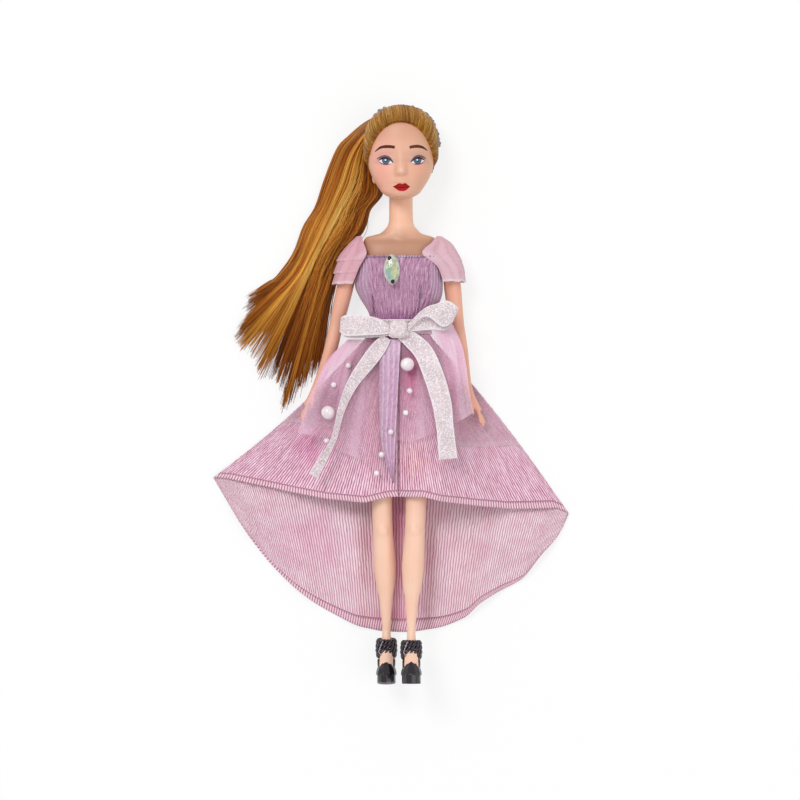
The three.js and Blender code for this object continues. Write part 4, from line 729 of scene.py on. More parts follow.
def build_torso():
    core = ring_mesh(loft(TRUNK.tolist(), 56, 150))
    rim, edge = HIP_DRUM - 0.2, HIP_DRUM - 1.5
    web_profile = [[0, -6], [edge, -6], [rim, -4.5], [rim, 4.5], [edge, 6], [0, 6]]
    web = turned(web_profile, 0, (HIP_X, HIP_Y, BODY_Z))
    neck_profile = [
        [0, NECK_FOOT_Y], [6.6, NECK_FOOT_Y], [6.5, 83], [6.15, 87.5], [5.95, 93],
        [NECK_RADIUS, 100], [NECK_RADIUS, NECK_TOP_Y], [0, NECK_TOP_Y],
    ]
    neck = turned(neck_profile, 1, (NECK_X, 0, NECK_Z), 48)
    torso = fused("torso_skin", [core, web, neck], 0.55, 10, torso_look)
    settle(torso, "torso", "skin", "torso_front", "torso_back")


# Each arm from the shoulder to the wrist: y from the shoulder's axis, x, and z from that axis
ARM_PATHS = {
    -1: [[0, -21.6, 0], [-4.7, -24.4, -0.2], [-10.7, -26.6, -0.6], [-20.4, -28.8, -1.4],
         [-30.4, -31.2, -2.4], [-39.4, -33.3, -3], [-48.4, -35.4, -3], [-57.2, -38.2, -2.4],
         [-65.7, -41.6, -1.6], [-70.7, -43.8, -1.4]],
    1: [[0, 19.6, 0], [-4.7, 22.5, -0.2], [-10.7, 24.4, -0.6], [-20.4, 25.5, -1.4],
        [-30.4, 26.6, -2.4], [-39.4, 28, -3], [-48.4, 29.4, -3], [-58.4, 30.9, -2.4],
        [-67.9, 32.6, -1.6], [-73.4, 34.4, -1.4]],
}
ARM_HALF_WIDTHS = [4.2, 4.5, 4.4, 4.3, 4.0, 3.5, 3.5, 2.98, 2.4, 2.2]
# How far the hand moves sideways for each step down
HAND_LEAN = {-1: -0.48, 1: 0.5}
PALM_LENGTH = 7.4
FINGER_LENGTH, FINGER_SHARES, FINGER_PITCH = 9, [0.82, 1, 0.96, 0.84], 1.25
# A finger from knuckle to tip: shares of length, spread and curl, half width and half depth
FINGER_ROWS = [(0, 0, 0, 0.85, 0.8), (0.35, 0.5, 0, 0.9, 0.76), (0.5, 0.8, 0, 0.84, 0.7),
               (0.9, 1.3, 1, 0.7, 0.6), (1, 1.4, 1, 0.32, 0.28)]
SHOULDER_DRUM = 4.4


def finger(knuckle, length, lean, spread, curl):
    """A finger from its knuckle's x, y and z."""
    x, y, z = knuckle
    sections = []
    for drop, apart, curled, half, deep in FINGER_ROWS:
        aside = length * drop * lean + curl * curled + spread * apart
        sections.append([y - length * drop, x + aside, z, half, deep])
    return ring_mesh(loft(sections, 14, 26))


def build_arm(side):
    name = SIDE_NAMES[side]
    lean = HAND_LEAN[side]
    arm_rows = [
        [ARM_AXIS_Y + dy, x, SHOULDER_Z + dz, half, half * 1.06]
        for (dy, x, dz), half in zip(ARM_PATHS[side], ARM_HALF_WIDTHS)
    ]
    wrist_y, wrist_x, wrist_z = arm_rows[-1][:3]
    hand_rows = [
        [wrist_y - drop, wrist_x + drop * lean, wrist_z, w, d]
        for drop, w, d in ((3, 2.1, 2.8), (5.6, 2.2, 3.1), (PALM_LENGTH, 1.7, 2.9))
    ]
    parts = [ring_mesh(loft(arm_rows + hand_rows, 28, 110))]
    knuckle_y, knuckle_x = wrist_y - PALM_LENGTH + 1, wrist_x + (PALM_LENGTH - 1) * lean
    for i, share in enumerate(FINGER_SHARES):
        length = FINGER_LENGTH * share
        knuckle = (knuckle_x, knuckle_y, wrist_z + (1.5 - i) * FINGER_PITCH)
        parts.append(finger(knuckle, length, lean, side * (i - 1.5) * 0.55, side * -0.1 * length))
    thumb_x = wrist_x + 2.5 * lean - side * 0.8
    thumb = [
        [wrist_y - 1.5, thumb_x, wrist_z + 1.6, 1, 1.1],
        [wrist_y - 5, thumb_x - side * 0.9 + 2 * lean, wrist_z + 2.8, 0.95, 1],
        [wrist_y - 8.6, thumb_x - side * 1.1 + 3.6 * lean, wrist_z + 3.2, 0.7, 0.7],
        [wrist_y - 9.6, thumb_x - side * 1.1 + 4 * lean, wrist_z + 3.2, 0.3, 0.3],
    ]
    parts.append(ring_mesh(loft(thumb, 14, 24)))
    drum = [[0, 0], [SHOULDER_DRUM - 0.5, 0], [SHOULDER_DRUM, 0.6], [SHOULDER_DRUM, 3], [3.52, 5],
            [1.85, 6.4], [0, 6.8]]
    profile = [[radius, SHOULDER_FACE + along] for radius, along in drum]
    parts.append(turned(profile, 0, (CHEST_X, ARM_AXIS_Y, SHOULDER_Z), 40, side))
    arm = fused(f"arm_{name}_skin", parts, 0.4, 4, arm_look)
    clear_of_bodice(arm, side)
    settle(arm, f"arm_{name}", "skin", f"arm_{name}")


def clear_of_bodice(arm, side):
    """Beside the bodice the arm keeps only what turns clear of it, and it ends at the shoulder's face."""
    face = CHEST_X + side * (CHEST_HALF + BODICE_GROW + 0.3 + SEAT_GAP)
    end = CHEST_X + side * (SHOULDER_FACE + 0.02)
    for v in arm.data.vertices:
        x, y, z = np.array(v.co) / MM
        if side * (x - face) < 0:
            away = math.hypot(y - ARM_AXIS_Y, z - SHOULDER_Z)
            if away > SHOULDER_DRUM - 0.02:
                v.co.x = face * MM
        if side * (x - end) < 0:
            v.co.x = end * MM


ANKLE_X = 6.2
# The leg from the hip down: drop below the hip, x outward, z, half width and half depth
LEG_ROWS = [
    [-5, 10.8, 0, 7.3, 8.6], [6, 10.2, 0, 7.7, 9.2], [20, 9.7, 0, 7.1, 8.4], [38, 9.1, -0.2, 6.4, 7],
    [60, 8.5, -0.4, 5.2, 6], [74, 8, -0.5, 5.1, 5.7], [84, 7.4, -1.6, 5.5, 6], [90, 7.1, -2.2, 5.55, 6.1],
    [99, 6.8, -2.6, 4.84, 5.2], [107.16, 6.5, -2.8, 3.46, 3.8], [115, 6.3, -3, 2.7, 2.9],
    [123, ANKLE_X, -3, 2.1, 2.6], [129, ANKLE_X, -1.8, 2.6, 3.8], [134, ANKLE_X, 2, 3.3, 3.6],
    [140, ANKLE_X, 6.6, 3.6, 2.7], [143, ANKLE_X, 8.8, 3.0, 1.6], [144, ANKLE_X, 9.6, 1.2, 0.7],
]


def hip_place(verts, side):
    """From the hip's own frame to the doll's."""
    turn = -LEFT_RAISE if side > 0 else 0.0
    v = np.asarray(verts, float)
    c, s = math.cos(turn), math.sin(turn)
    out = np.stack([v[..., 0], v[..., 1] * c - v[..., 2] * s, v[..., 1] * s + v[..., 2] * c], -1)
    return out + np.array([HIP_X, HIP_Y, BODY_Z])


def build_leg(side):
    name = SIDE_NAMES[side]
    rows = [[-drop, side * x, z, w, d] for drop, x, z, w, d in LEG_ROWS]
    shank = ring_mesh(loft(rows, 36, 190))
    knee = ball((side * 8.0, -73, 3.4), (3.3, 4.2, 2.5))
    heel = ball((side * ANKLE_X, -129.5, -3.4), (2.5, 3.2, 2.6))
    outer = HIP_HALF_WIDTH + 0.6
    profile = [[0, CROTCH_FACE], [HIP_DRUM, CROTCH_FACE], [HIP_DRUM, outer - 6], [HIP_DRUM * 0.93, outer - 3],
               [HIP_DRUM * 0.7, outer - 0.8], [0, outer]]
    drum = turned(profile, 0, (0, 0, 0), 48, side)
    parts = [(hip_place(v, side), f) for v, f in (shank, knee, heel, drum)]
    leg = fused(f"leg_{name}_skin", parts, 0.5, 8, leg_look)
    settle(leg, f"leg_{name}", "skin", f"leg_{name}")


# The head from chin to crown: share of its height, half width, front and back as shares of width and depth
HEAD_ROWS = [
    [0, 0.12, 0.84, 0.62], [0.02, 0.34, 0.93, 0.5], [0.075, 0.56, 0.965, 0.3], [0.13, 0.66, 0.975, 0.14],
    [0.2, 0.78, 0.97, 0.08], [0.27, 0.875, 0.965, 0.05], [0.36, 0.955, 0.955, 0.02], [0.46, 1, 0.955, 0],
    [0.58, 1, 0.965, 0], [0.68, 0.985, 0.965, 0.01], [0.78, 0.93, 0.94, 0.05], [0.87, 0.81, 0.88, 0.12],
    [0.94, 0.6, 0.77, 0.23], [0.985, 0.32, 0.64, 0.36], [1, 0.08, 0.53, 0.46],
]
NOSE_Y, MOUTH_Y, EYE_Y, EYE_X = CHIN_Y + 13, CHIN_Y + 7, CHIN_Y + 20.5, 7.9


def face_relief(x, y):
    """How far nose, lips, chin, cheeks and eyes stand out of the plain head."""
    dx = x - NECK_X
    side = np.abs(dx)
    bridge = 1.0 * bell(dx, 1.4) * bell(y - (NOSE_Y + 5), 3.6)
    nose = 2.0 * bell(dx, 1.6) * bell(y - NOSE_Y, 1.6)
    wing = 0.5 * bell(side - 1.9, 0.8) * bell(y - (NOSE_Y - 0.7), 0.9)
    nostril = 0.25 * bell(side - 1.2, 0.5) * bell(y - (NOSE_Y - 1.9), 0.5)
    upper = 0.85 * bell(side - 1.2, 1.9) * bell(y - (MOUTH_Y + 1.0), 0.75)
    lower = 1.0 * bell(dx, 2.2) * bell(y - (MOUTH_Y - 1.3), 0.95)
    crease = 0.45 * bell(dx, 3.2) * bell(y - (MOUTH_Y - 0.1), 0.28)
    chin = 0.9 * bell(dx, 3.5) * bell(y - (CHIN_Y + 2), 1.8)
    socket = 1.1 * bell(side - EYE_X, 3.2) * bell(y - (EYE_Y + 0.4), 2.6)
    globe = 0.7 * bell(side - EYE_X, 2.2) * bell(y - EYE_Y, 1.5)
    cheek = 0.5 * bell(side - 9, 3) * bell(y - (CHIN_Y + 13), 3.5)
    return bridge + nose + wing - nostril + upper + lower - crease + chin - socket + globe + cheek


def head_rings(rings, sides, grow, with_face):
    """Rings of the head's skin from chin to crown, raised by grow, with or without the face's relief."""
    t = np.linspace(0, 1, rings)
    t = 0.5 - 0.5 * np.cos(np.pi * t) * (1 - 0.15 * np.sin(np.pi * t) ** 2)
    width, front, back = through([r[0] for r in HEAD_ROWS], [r[1:] for r in HEAD_ROWS], t).T
    even = np.linspace(0, 2 * np.pi, sides, endpoint=False)
    angle = np.pi / 2 + even - 0.45 * np.sin(even)
    y = CHIN_Y + t * (CROWN_Y - CHIN_Y)
    half = (front - back) * HEAD_DEPTH / 2
    centre = HEAD_BACK_Z + (front + back) * HEAD_DEPTH / 2
    px = NECK_X + (width * HEAD_HALF_WIDTH + grow)[:, None] * np.cos(angle)[None]
    pz = centre[:, None] + (half + grow)[:, None] * np.sin(angle)[None]
    py = np.broadcast_to(y[:, None], px.shape) + grow * (2 * t[:, None] - 1) ** 9
    if with_face:
        front_side = smooth(np.sin(angle)[None] * 3)
        pz = pz + face_relief(px, py) * front_side
    return np.stack([px, py, pz], -1)


def face_tones(verts):
    """Colours of the vinyl: soft blush and eye shadow, painted light on the doll's right side and painted
    shade on its left, painted shade at the nostrils, beside the nose and under the lower lip, a painted
    highlight on the nose tip, and darker towards the forehead.
    """
    x, y, z = verts.T
    dx = x - NECK_X
    side = np.abs(dx)
    front = smooth((z - 20) / 8)
    base = rgb_array(228, 174, 146) * np.ones((len(x), 1))

    def lay(colour, share):
        nonlocal base
        base = mix(base, rgb_array(*colour), np.clip(share * front, 0, 1)[:, None])

    # Painted light on the doll's right side of the face and painted shade on its left.
    lay((242, 172, 156), 0.5 * smooth((NECK_X - 1 - x) / 9))
    lay((214, 168, 130), 0.6 * smooth((x - NECK_X - 3) / 9))
    lay((212, 156, 128), 0.75 * smooth((y - (CHIN_Y + 25)) / 8))
    lay((244, 164, 146), 0.4 * bell(side - 9.5, 3.2) * bell(y - (CHIN_Y + 13.5), 3.4))
    lay((150, 108, 122), 0.3 * bell(side - EYE_X, 3.6) * bell(y - (EYE_Y + 0.9), 1.2))
    lay((168, 114, 132), 0.6 * bell(side - EYE_X, 3.4) * bell(y - (EYE_Y - 2.2), 0.8))
    # Painted shade at the nostrils, beside the nose and under the lower lip, and a painted highlight on the
    # nose tip.
    lay((190, 120, 100), 0.3 * bell(side - 1.3, 0.8) * bell(y - (NOSE_Y - 2.0), 0.5))
    lay((204, 142, 118), 0.4 * bell(side - 2.7, 0.6) * bell(y - (NOSE_Y + 1.5), 3.0))
    lay((250, 212, 188), 0.5 * bell(dx, 0.9) * bell(y - (NOSE_Y + 0.6), 1.2))
    lay((210, 150, 126), 0.4 * bell(dx, 2.6) * bell(y - (MOUTH_Y - 3.4), 0.7))
    return base


head_part = outward(ring_mesh(head_rings(190, 220, 0.0, True)))
head_tree = tree_of(head_part)


def on_face(px, py, lift):
    """The place on the face that shows in a pixel, raised along the face by lift."""
    z = 32.0
    for _ in range(3):
        x, y = spot(px, py, z)
        hit, normal, _, _ = head_tree.ray_cast(Vector((x, y, 80)), Vector((0, 0, -1)))
        if hit is None:
            break
        z = hit.z
    if hit is None:
        return np.array([x, y, z])
    return np.array(hit + normal * (lift if normal.z > 0 else -lift))


# Distance in pixels between the points of a painted film
FILM_STEP = 0.45


def film(name, outline, look, lift):
    """Paint on the face inside a closed outline of pixels."""
    count = max(24, 6 * len(outline))
    edge = rounded(outline, np.linspace(0, 1, count, endpoint=False), closed=True)
    low, high = edge.min(0), edge.max(0)
    across, down = (np.arange(low[k], high[k], FILM_STEP) for k in (0, 1))
    points = [Vector(p) for p in edge] + [Vector((px, py)) for px in across for py in down]
    verts, _, faces, _, _, _ = delaunay_2d_cdt(points, [], [list(range(count))], 1, 1e-4)
    placed = np.array([on_face(v.x, v.y, lift) for v in verts])
    faces = [tuple(f) for f in faces]
    a, b, c = (placed[[f[i] for f in faces]] for i in range(3))
    flip = np.cross(b - a, c - a)[:, 2] < 0
    faces = [tuple(reversed(f)) if turn else f for f, turn in zip(faces, flip)]
    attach(mesh_object(name, placed, faces, look), "head")


def band_outline(path, widths):
    """Closed outline round an open stroke of pixels with a width at each point."""
    line = rounded(path, np.linspace(0, 1, 7 * len(path)))
    width = np.interp(np.linspace(0, 1, len(line)), np.linspace(0, 1, len(widths)), widths)
    step = np.gradient(line, axis=0)
    step /= np.linalg.norm(step, axis=1, keepdims=True) + 1e-9
    off = np.stack([-step[:, 1], step[:, 0]], 1) * width[:, None] / 2
    return np.vstack([line + off, (line - off)[::-1]])


def circle(centre, radius, count):
    a = np.linspace(0, 2 * np.pi, count, endpoint=False)
    return np.stack([centre[0] + radius * np.cos(a), centre[1] + radius * np.sin(a)], 1)


# Painted outlines and strokes of the face, in pixels
EYES = {
    "right": dict(
        white=[(379.2, 160.6), (381.6, 158.4), (385.2, 157.6), (389.2, 158.4), (392.6, 162.6), (390.0, 163.6),
               (386.0, 163.9), (382.0, 163.2)],
        iris=(386.0, 160.3),
        lid=[(376.9, 158.9), (380.4, 157.3), (385.0, 156.3), (389.6, 157.8), (393.4, 162.5)],
        lash=[(378.6, 160.4), (381.4, 158.9), (385.2, 158.0), (389.4, 159.2), (393.0, 162.6)],
        lower=[(379.6, 162.0), (382.6, 163.9), (386.4, 164.5), (390.6, 163.9)],
        brow=[(394.8, 147.3), (391.0, 146.7), (386.0, 146.6), (380.4, 147.6), (375.0, 151.7)]),
    "left": dict(
        white=[(424.0, 160.4), (421.6, 158.2), (418.2, 157.4), (414.6, 158.2), (411.2, 162.4), (413.6, 163.4),
               (417.6, 163.7), (421.4, 163.0)],
        iris=(417.5, 160.2),
        lid=[(426.0, 158.6), (423.0, 157.0), (418.8, 156.0), (414.4, 157.6), (410.8, 162.2)],
        lash=[(424.6, 160.2), (421.8, 158.7), (418.2, 157.8), (414.4, 159.0), (411.0, 162.3)],
        lower=[(423.6, 161.8), (420.8, 163.6), (417.0, 164.3), (413.0, 163.7)],
        brow=[(409.6, 147.4), (413.2, 146.6), (417.6, 146.3), (422.6, 147.4), (427.4, 150.6)]),
}
LIP_UPPER = [(393.0, 186.8), (396.2, 184.9), (399.0, 183.4), (401.0, 183.6), (402.2, 184.3), (403.4, 183.5),
             (405.6, 183.2), (407.6, 184.8), (410.0, 186.9), (406.0, 187.2), (402.0, 187.4), (397.6, 187.2)]
LIP_LOWER = [(394.2, 187.1), (398.0, 187.4), (402.0, 187.7), (406.0, 187.4), (409.0, 187.2), (407.2, 189.3),
             (404.8, 190.8), (402.2, 191.1), (399.2, 190.8), (396.6, 189.3)]
MOUTH_LINE = [(393.4, 187.0), (397.6, 187.4), (402.0, 187.6), (406.2, 187.4), (409.8, 187.1)]


def build_face():
    white = paint_look("eye_white", rgb(232, 224, 232))
    iris = paint_look("eye_iris", rgb(84, 106, 120), 0.3)
    ring = paint_look("eye_ring", rgb(46, 46, 62), 0.3)
    pupil = paint_look("eye_pupil", rgb(34, 34, 48), 0.15)
    spark = paint_look("eye_spark", rgb(196, 222, 230), 0.3)
    lash = paint_look("lash_paint", rgb(46, 30, 42))
    lid = paint_look("lid_paint", rgb(104, 82, 96))
    shade = paint_look("lower_lid_paint", rgb(128, 84, 112))
    brow = paint_look("brow_paint", rgb(88, 36, 30))
    lip = paint_look("lip_paint", rgb(150, 6, 10), 0.6)
    lip_low = paint_look("lip_low_paint", rgb(178, 8, 18), 0.6)
    mouth = paint_look("mouth_line", rgb(88, 8, 14))
    for side, eye in EYES.items():
        film(f"eye_{side}_white", eye["white"], white, 0.05)
        film(f"eye_{side}_ring", circle(eye["iris"], 3.9, 28), ring, 0.075)
        film(f"eye_{side}_iris", circle(eye["iris"], 3.2, 28), iris, 0.09)
        film(f"eye_{side}_pupil", circle(eye["iris"], 1.6, 20), pupil, 0.105)
        glint = (eye["iris"][0] - 0.4, eye["iris"][1] - 0.3)
        film(f"eye_{side}_spark", circle(glint, 1.0, 14), spark, 0.125)
        film(f"eye_{side}_lid", band_outline(eye["lid"], [0.5, 1.6, 2.1, 1.9, 0.6]), lid, 0.135)
        film(f"eye_{side}_lash", band_outline(eye["lash"], [0.7, 1.5, 1.7, 1.4, 0.5]), lash, 0.15)
        film(f"eye_{side}_lower", band_outline(eye["lower"], [0.5, 1.1, 1.1, 0.4]), shade, 0.12)
        film(f"brow_{side}", band_outline(eye["brow"], [2.7, 2.9, 3.0, 2.4, 0.5]), brow, 0.06)
    film("lip_upper", LIP_UPPER, lip, 0.06)
    film("lip_lower", LIP_LOWER, lip_low, 0.06)
    film("mouth_line", band_outline(MOUTH_LINE, [0.3, 0.6, 0.8, 0.6, 0.3]), mouth, 0.09)


def build_head():
    ears = [ball((NECK_X - 13.3, CHIN_Y + 11.0, 15.5), (1.2, 2.4, 2.2), 24),
            ball((NECK_X + 12.2, CHIN_Y + 10.6, 15.5), (0.7, 2.6, 2.2), 24)]
    verts, faces = joined([head_part] + ears)
    head = mesh_object("head_vinyl_skin", verts, faces, head_look, tone=face_tones(verts))
    settle(head, "head", "head_vinyl", "head")
    build_face()


# Hair

TAIL_ROOT = np.array([-17.2, 132.6, 10.4])
TAIL_WAY = np.array([-0.95, -0.15, -0.22]) / np.linalg.norm([-0.95, -0.15, -0.22])
HAIR_COLOURS = [(206, 152, 62), (184, 128, 46), (158, 100, 32), (224, 176, 92), (122, 68, 20)]
HAIR_TONES = np.array([rgb_array(*colour) for colour in HAIR_COLOURS])
HAIR_TONE_SHARES = [0.26, 0.26, 0.22, 0.1, 0.16]
SCALP_HAIRS, TAIL_HAIRS, STRAY_HAIRS = 2000, 2600, 110
TAIL_CLUMPS = 70
HAIR_END_Y = 116.0
HAIRLINE_BOW = 0.0138
HEAD_MIDDLE = np.array([NECK_X, 124.0, 17.0])
HAIRLINE_WAY = np.array([0, -math.sin(HAIRLINE_SLOPE), math.cos(HAIRLINE_SLOPE)])
HAIRLINE_POINT = np.array([0, HAIRLINE_Y, HEAD_BACK_Z + 0.92 * HEAD_DEPTH])
HAIRLINE_SIDE = np.array([0, math.cos(HAIRLINE_SLOPE), math.sin(HAIRLINE_SLOPE)])


def hair_rings(rings, sides, grow):
    """Rings of the combed hair: as thick as asked over the crown, thin below the ends of the hairline."""
    thin, thick = head_rings(rings, sides, 0.3, False), head_rings(rings, sides, grow, False)
    return mix(thin, thick, smooth((thick[..., 1:2] - HAIR_END_Y) / 5))


def scalp_shell(grow, ridge):
    """The hair's skin, with ridges that run straight back from the hairline."""
    rings = hair_rings(170, 300, grow)
    d = rings - HEAD_MIDDLE
    u = d / np.linalg.norm(d, axis=2, keepdims=True)
    turn = np.arctan2(u @ HAIRLINE_SIDE, u[..., 0])
    back = np.arccos(np.clip(-(u @ HAIRLINE_WAY), -1, 1))
    comb = 0.55 * np.sin(turn * 58 + 3 * np.sin(turn * 5)) + 0.35 * np.sin(turn * 119 + 2 * np.sin(turn * 9))
    rings = rings + u * (ridge * comb * smooth(back * 2))[..., None]
    return rings, turn, back


# The turned edge of the hair in three steps: depth below its skin and slide along the hairline's way
HAIR_EDGE_STEPS = ((0.35, 0.15), (0.9, 0.1), (1.9, -0.1))


def bow_out(mesh, way, sign):
    """Bends a mesh along the hairline's way, more towards the sides, or back with the other sign."""
    for v in mesh.verts:
        v.co += way * sign * HAIRLINE_BOW * (v.co.x / MM - NECK_X) ** 2 * MM


def build_scalp():
    rings, turn, back = scalp_shell(HAIR_THICKNESS - 0.25, 0.28)
    verts, faces = ring_mesh(rings)
    uv = np.zeros((len(verts), 2))
    uv[:turn.size, 0] = (turn / (2 * np.pi) + 0.5).ravel()
    uv[:turn.size, 1] = (back / np.pi).ravel()
    shell = mesh_object("scalp_mass", *outward((verts, faces)), hair_base_look, uv=uv)
    way = Vector(HAIRLINE_WAY)
    cut = bmesh.new()
    cut.from_mesh(shell.data)
    bow_out(cut, way, -1)
    bmesh.ops.bisect_plane(cut, geom=cut.verts[:] + cut.edges[:] + cut.faces[:],
                           plane_co=Vector(HAIRLINE_POINT) * MM, plane_no=way, clear_outer=True)
    bow_out(cut, way, 1)
    rim = [e for e in cut.edges if e.is_boundary]
    middle = Vector(HEAD_MIDDLE) * MM
    for depth, slide in HAIR_EDGE_STEPS:
        made = bmesh.ops.extrude_edge_only(cut, edges=rim)["geom"]
        for v in [g for g in made if isinstance(g, bmesh.types.BMVert)]:
            inward = (middle - v.co).normalized()
            v.co += inward * depth * MM * 0.6 + way * slide * MM
        rim = [g for g in made if isinstance(g, bmesh.types.BMEdge) and g.is_boundary]
    cut.to_mesh(shell.data)
    cut.free()
    shade_smooth(shell)
    settle(shell, "head", "hair", "scalp_hair")
    build_scalp_strands()


def build_scalp_strands():
    tree = tree_of(outward(ring_mesh(hair_rings(90, 120, HAIR_THICKNESS - 0.1))))
    tie = TAIL_ROOT - HEAD_MIDDLE
    tie /= np.linalg.norm(tie)
    n = SCALP_HAIRS
    paths, tones = [], []
    for angle in rng.uniform(0, 2 * np.pi, n):
        start = hairline_direction(angle)
        apart = math.acos(np.clip(start @ tie, -1, 1))
        pull = -HAIRLINE_WAY * min(1.3, 0.9 * apart)
        depth = rng.uniform(-0.14, 0.16)
        swerve = np.cross(start, tie) * rng.normal(0, 0.04)
        row = []
        for t in np.linspace(0, 1, 20):
            d = (1 - t) ** 2 * start + 2 * t * (1 - t) * (pull + swerve) + t * t * tie
            d /= np.linalg.norm(d)
            hit = tree.ray_cast(Vector(HEAD_MIDDLE), Vector(d))[0]
            p = np.array(hit) if hit else HEAD_MIDDLE + d * 17
            row.append(p + d * (depth * min(1, 4 * t) - 0.3 * (1 - min(1, 8 * t))))
        paths.append(row)
        tones.append(HAIR_TONES[rng.choice(len(HAIR_TONES), p=HAIR_TONE_SHARES)])
    hairs = strands("scalp_strands", paths, tones, 0.15, 0.42)
    settle(hairs, "head", "hair")


def hairline_direction(angle):
    """A direction from the middle of the head to the edge of the hair, on the cut of the scalp."""
    reach = (HAIRLINE_POINT - HEAD_MIDDLE) @ HAIRLINE_WAY
    radius = 17.4
    around = math.cos(angle) * np.array([1, 0, 0]) + math.sin(angle) * HAIRLINE_SIDE
    p = HAIRLINE_WAY * (reach - 0.15 + HAIRLINE_BOW * (radius * math.cos(angle)) ** 2) + radius * around
    return p / np.linalg.norm(p)


def strands(name, paths, tones, radius, root=1.0):
    """Hairs along paths with tones for each hair or each of its points, darker at the root by a share."""
    verts, quads, owner, along = tubes(paths, radius)
    tones = np.asarray(tones)
    if tones.ndim == 3:
        colour = tones[owner, np.rint(along * (tones.shape[1] - 1)).astype(int)]
    else:
        colour = tones[owner]
    shade = (0.86 + 0.14 * np.sin(along * 9 + owner)) * mix(root, 1, smooth(along / 0.09))
    return mesh_object(name, verts, quads, hair_look, tone=colour * shade[:, None])


# Outer and inner edge of the tail in pixels, with the heights of its top in millimetres
TAIL_OUTER = [(378, 115), (364, 123.5), (350, 136), (338.5, 149), (326.6, 179), (317, 207), (305, 226),
              (295, 254), (279, 276)]
TAIL_INNER = [(378, 138), (374, 152), (374, 166), (379, 181), (381, 195), (369, 209), (362, 230),
              (340, 258), (334, 284)]
TAIL_TOP = [17, 21, 20, 16, 12.8, 11, 10.4, 10.4, 10.2, 8.6, 3.0]
# Ragged end of the tail in pixels, from its outer to its inner edge
TAIL_END = [(258, 292), (246, 299), (243, 309), (247, 318), (238, 330), (234, 337), (240, 349), (252, 358),
            (256, 370), (258, 381), (266, 379), (275, 379), (276, 390), (284, 404), (283, 410), (279, 417),
            (290, 405), (300, 396), (312, 388), (322, 378)]
# Colours of the tail from the deepest to the brightest
TAIL_COLOURS = [(96, 36, 8), (148, 74, 20), (190, 112, 36), (224, 158, 62), (240, 196, 108)]
TAIL_TONES = np.array([rgb_array(*colour) for colour in TAIL_COLOURS])
# Painted highlights on the tail's locks: place and reach across, place and reach along, and strength
PAINTED_HIGHLIGHT_LOCKS = [(0.44, 0.06, 0.62, 0.2, 0.5), (0.2, 0.05, 0.66, 0.2, 0.42), (0.3, 0.04, 0.3, 0.16, 0.35),
               (0.58, 0.03, 0.45, 0.2, 0.3), (0.09, 0.04, 0.35, 0.25, 0.2), (0.7, 0.03, 0.7, 0.12, 0.3)]
# Share of the tail's length over which it gathers into the combed hair
ROOT_SHARE = 0.08


def tail_tones(w, t, stray):
    """Tones along a hair that lies at w across the tail, for places t along it, with painted highlights and
    painted shade towards the inner edge.
    """
    wide_bands = 0.12 * np.sin(2 * np.pi * (2.3 * w + 0.3 * t) + 1)
    fine_bands = 0.12 * np.sin(2 * np.pi * (7.1 * w - 0.4 * t) + 2)
    light = 0.34 + wide_bands + fine_bands
    for across, wide, along, long, strength in PAINTED_HIGHLIGHT_LOCKS:
        light = light + strength * bell(w - across + 0.08 * (t - along), wide) * bell(t - along, long)
    # Painted shade towards the inner edge of the tail, but not near its end.
    light = light - 0.2 * smooth((w - 0.6) / 0.25) * smooth((0.95 - t) * 4) + stray
    place = np.clip(light, 0, 0.999) * (len(TAIL_TONES) - 1)
    low = np.floor(place).astype(int)
    return mix(TAIL_TONES[low], TAIL_TONES[low + 1], (place - low)[..., None])


def tail_root(w, level):
    """Where a hair of the tail starts in the combed hair."""
    x = mix(-11.6, -16.2, min(1, 3 * w))
    return np.array([x, mix(141.4, 126.5, w), mix(14.5, 10.5, w) + 2 * (level - 0.5)])


def tail_point(w, t, end):
    """Where the lock at w (0 outer to 1 inner) is at t (0 root to 1 end), in pixels."""
    guide = [mix(np.array(a), np.array(b), w) for a, b in zip(TAIL_OUTER, TAIL_INNER)]
    middle = mix(guide[-1], np.array(end), 0.5) + np.array([3.0, -2.0]) * (0.5 - w)
    return rounded(guide + [middle, np.array(end)], t)


def tail_height(t):
    return np.interp(t, np.linspace(0, 1, len(TAIL_TOP)), TAIL_TOP)


def tail_end(w):
    """Where the hair at w ends, in pixels."""
    at = w * (len(TAIL_END) - 1)
    low = int(min(len(TAIL_END) - 2, math.floor(at)))
    return mix(np.array(TAIL_END[low], float), np.array(TAIL_END[low + 1], float), at - low)


def tail_path(w, at, end, level, wave):
    """Points of a hair of the tail, swayed sideways by wave pixels."""
    line = tail_point(w, at, end) + np.stack([wave, 0.3 * wave], 1)
    dome = np.sqrt(np.clip(1 - (2 * w - 1) ** 2, 0.04, 1))
    z = np.maximum(0.25, tail_height(at) * mix(0.35, dome, 0.75) * mix(0.28, 1, level) + 0.15)
    x, y = spot(line[:, 0], line[:, 1], z)
    hold = np.clip(1 - at / ROOT_SHARE, 0, 1)[:, None] ** 2
    return mix(np.stack([x, y, z], 1), tail_root(w, level), hold)


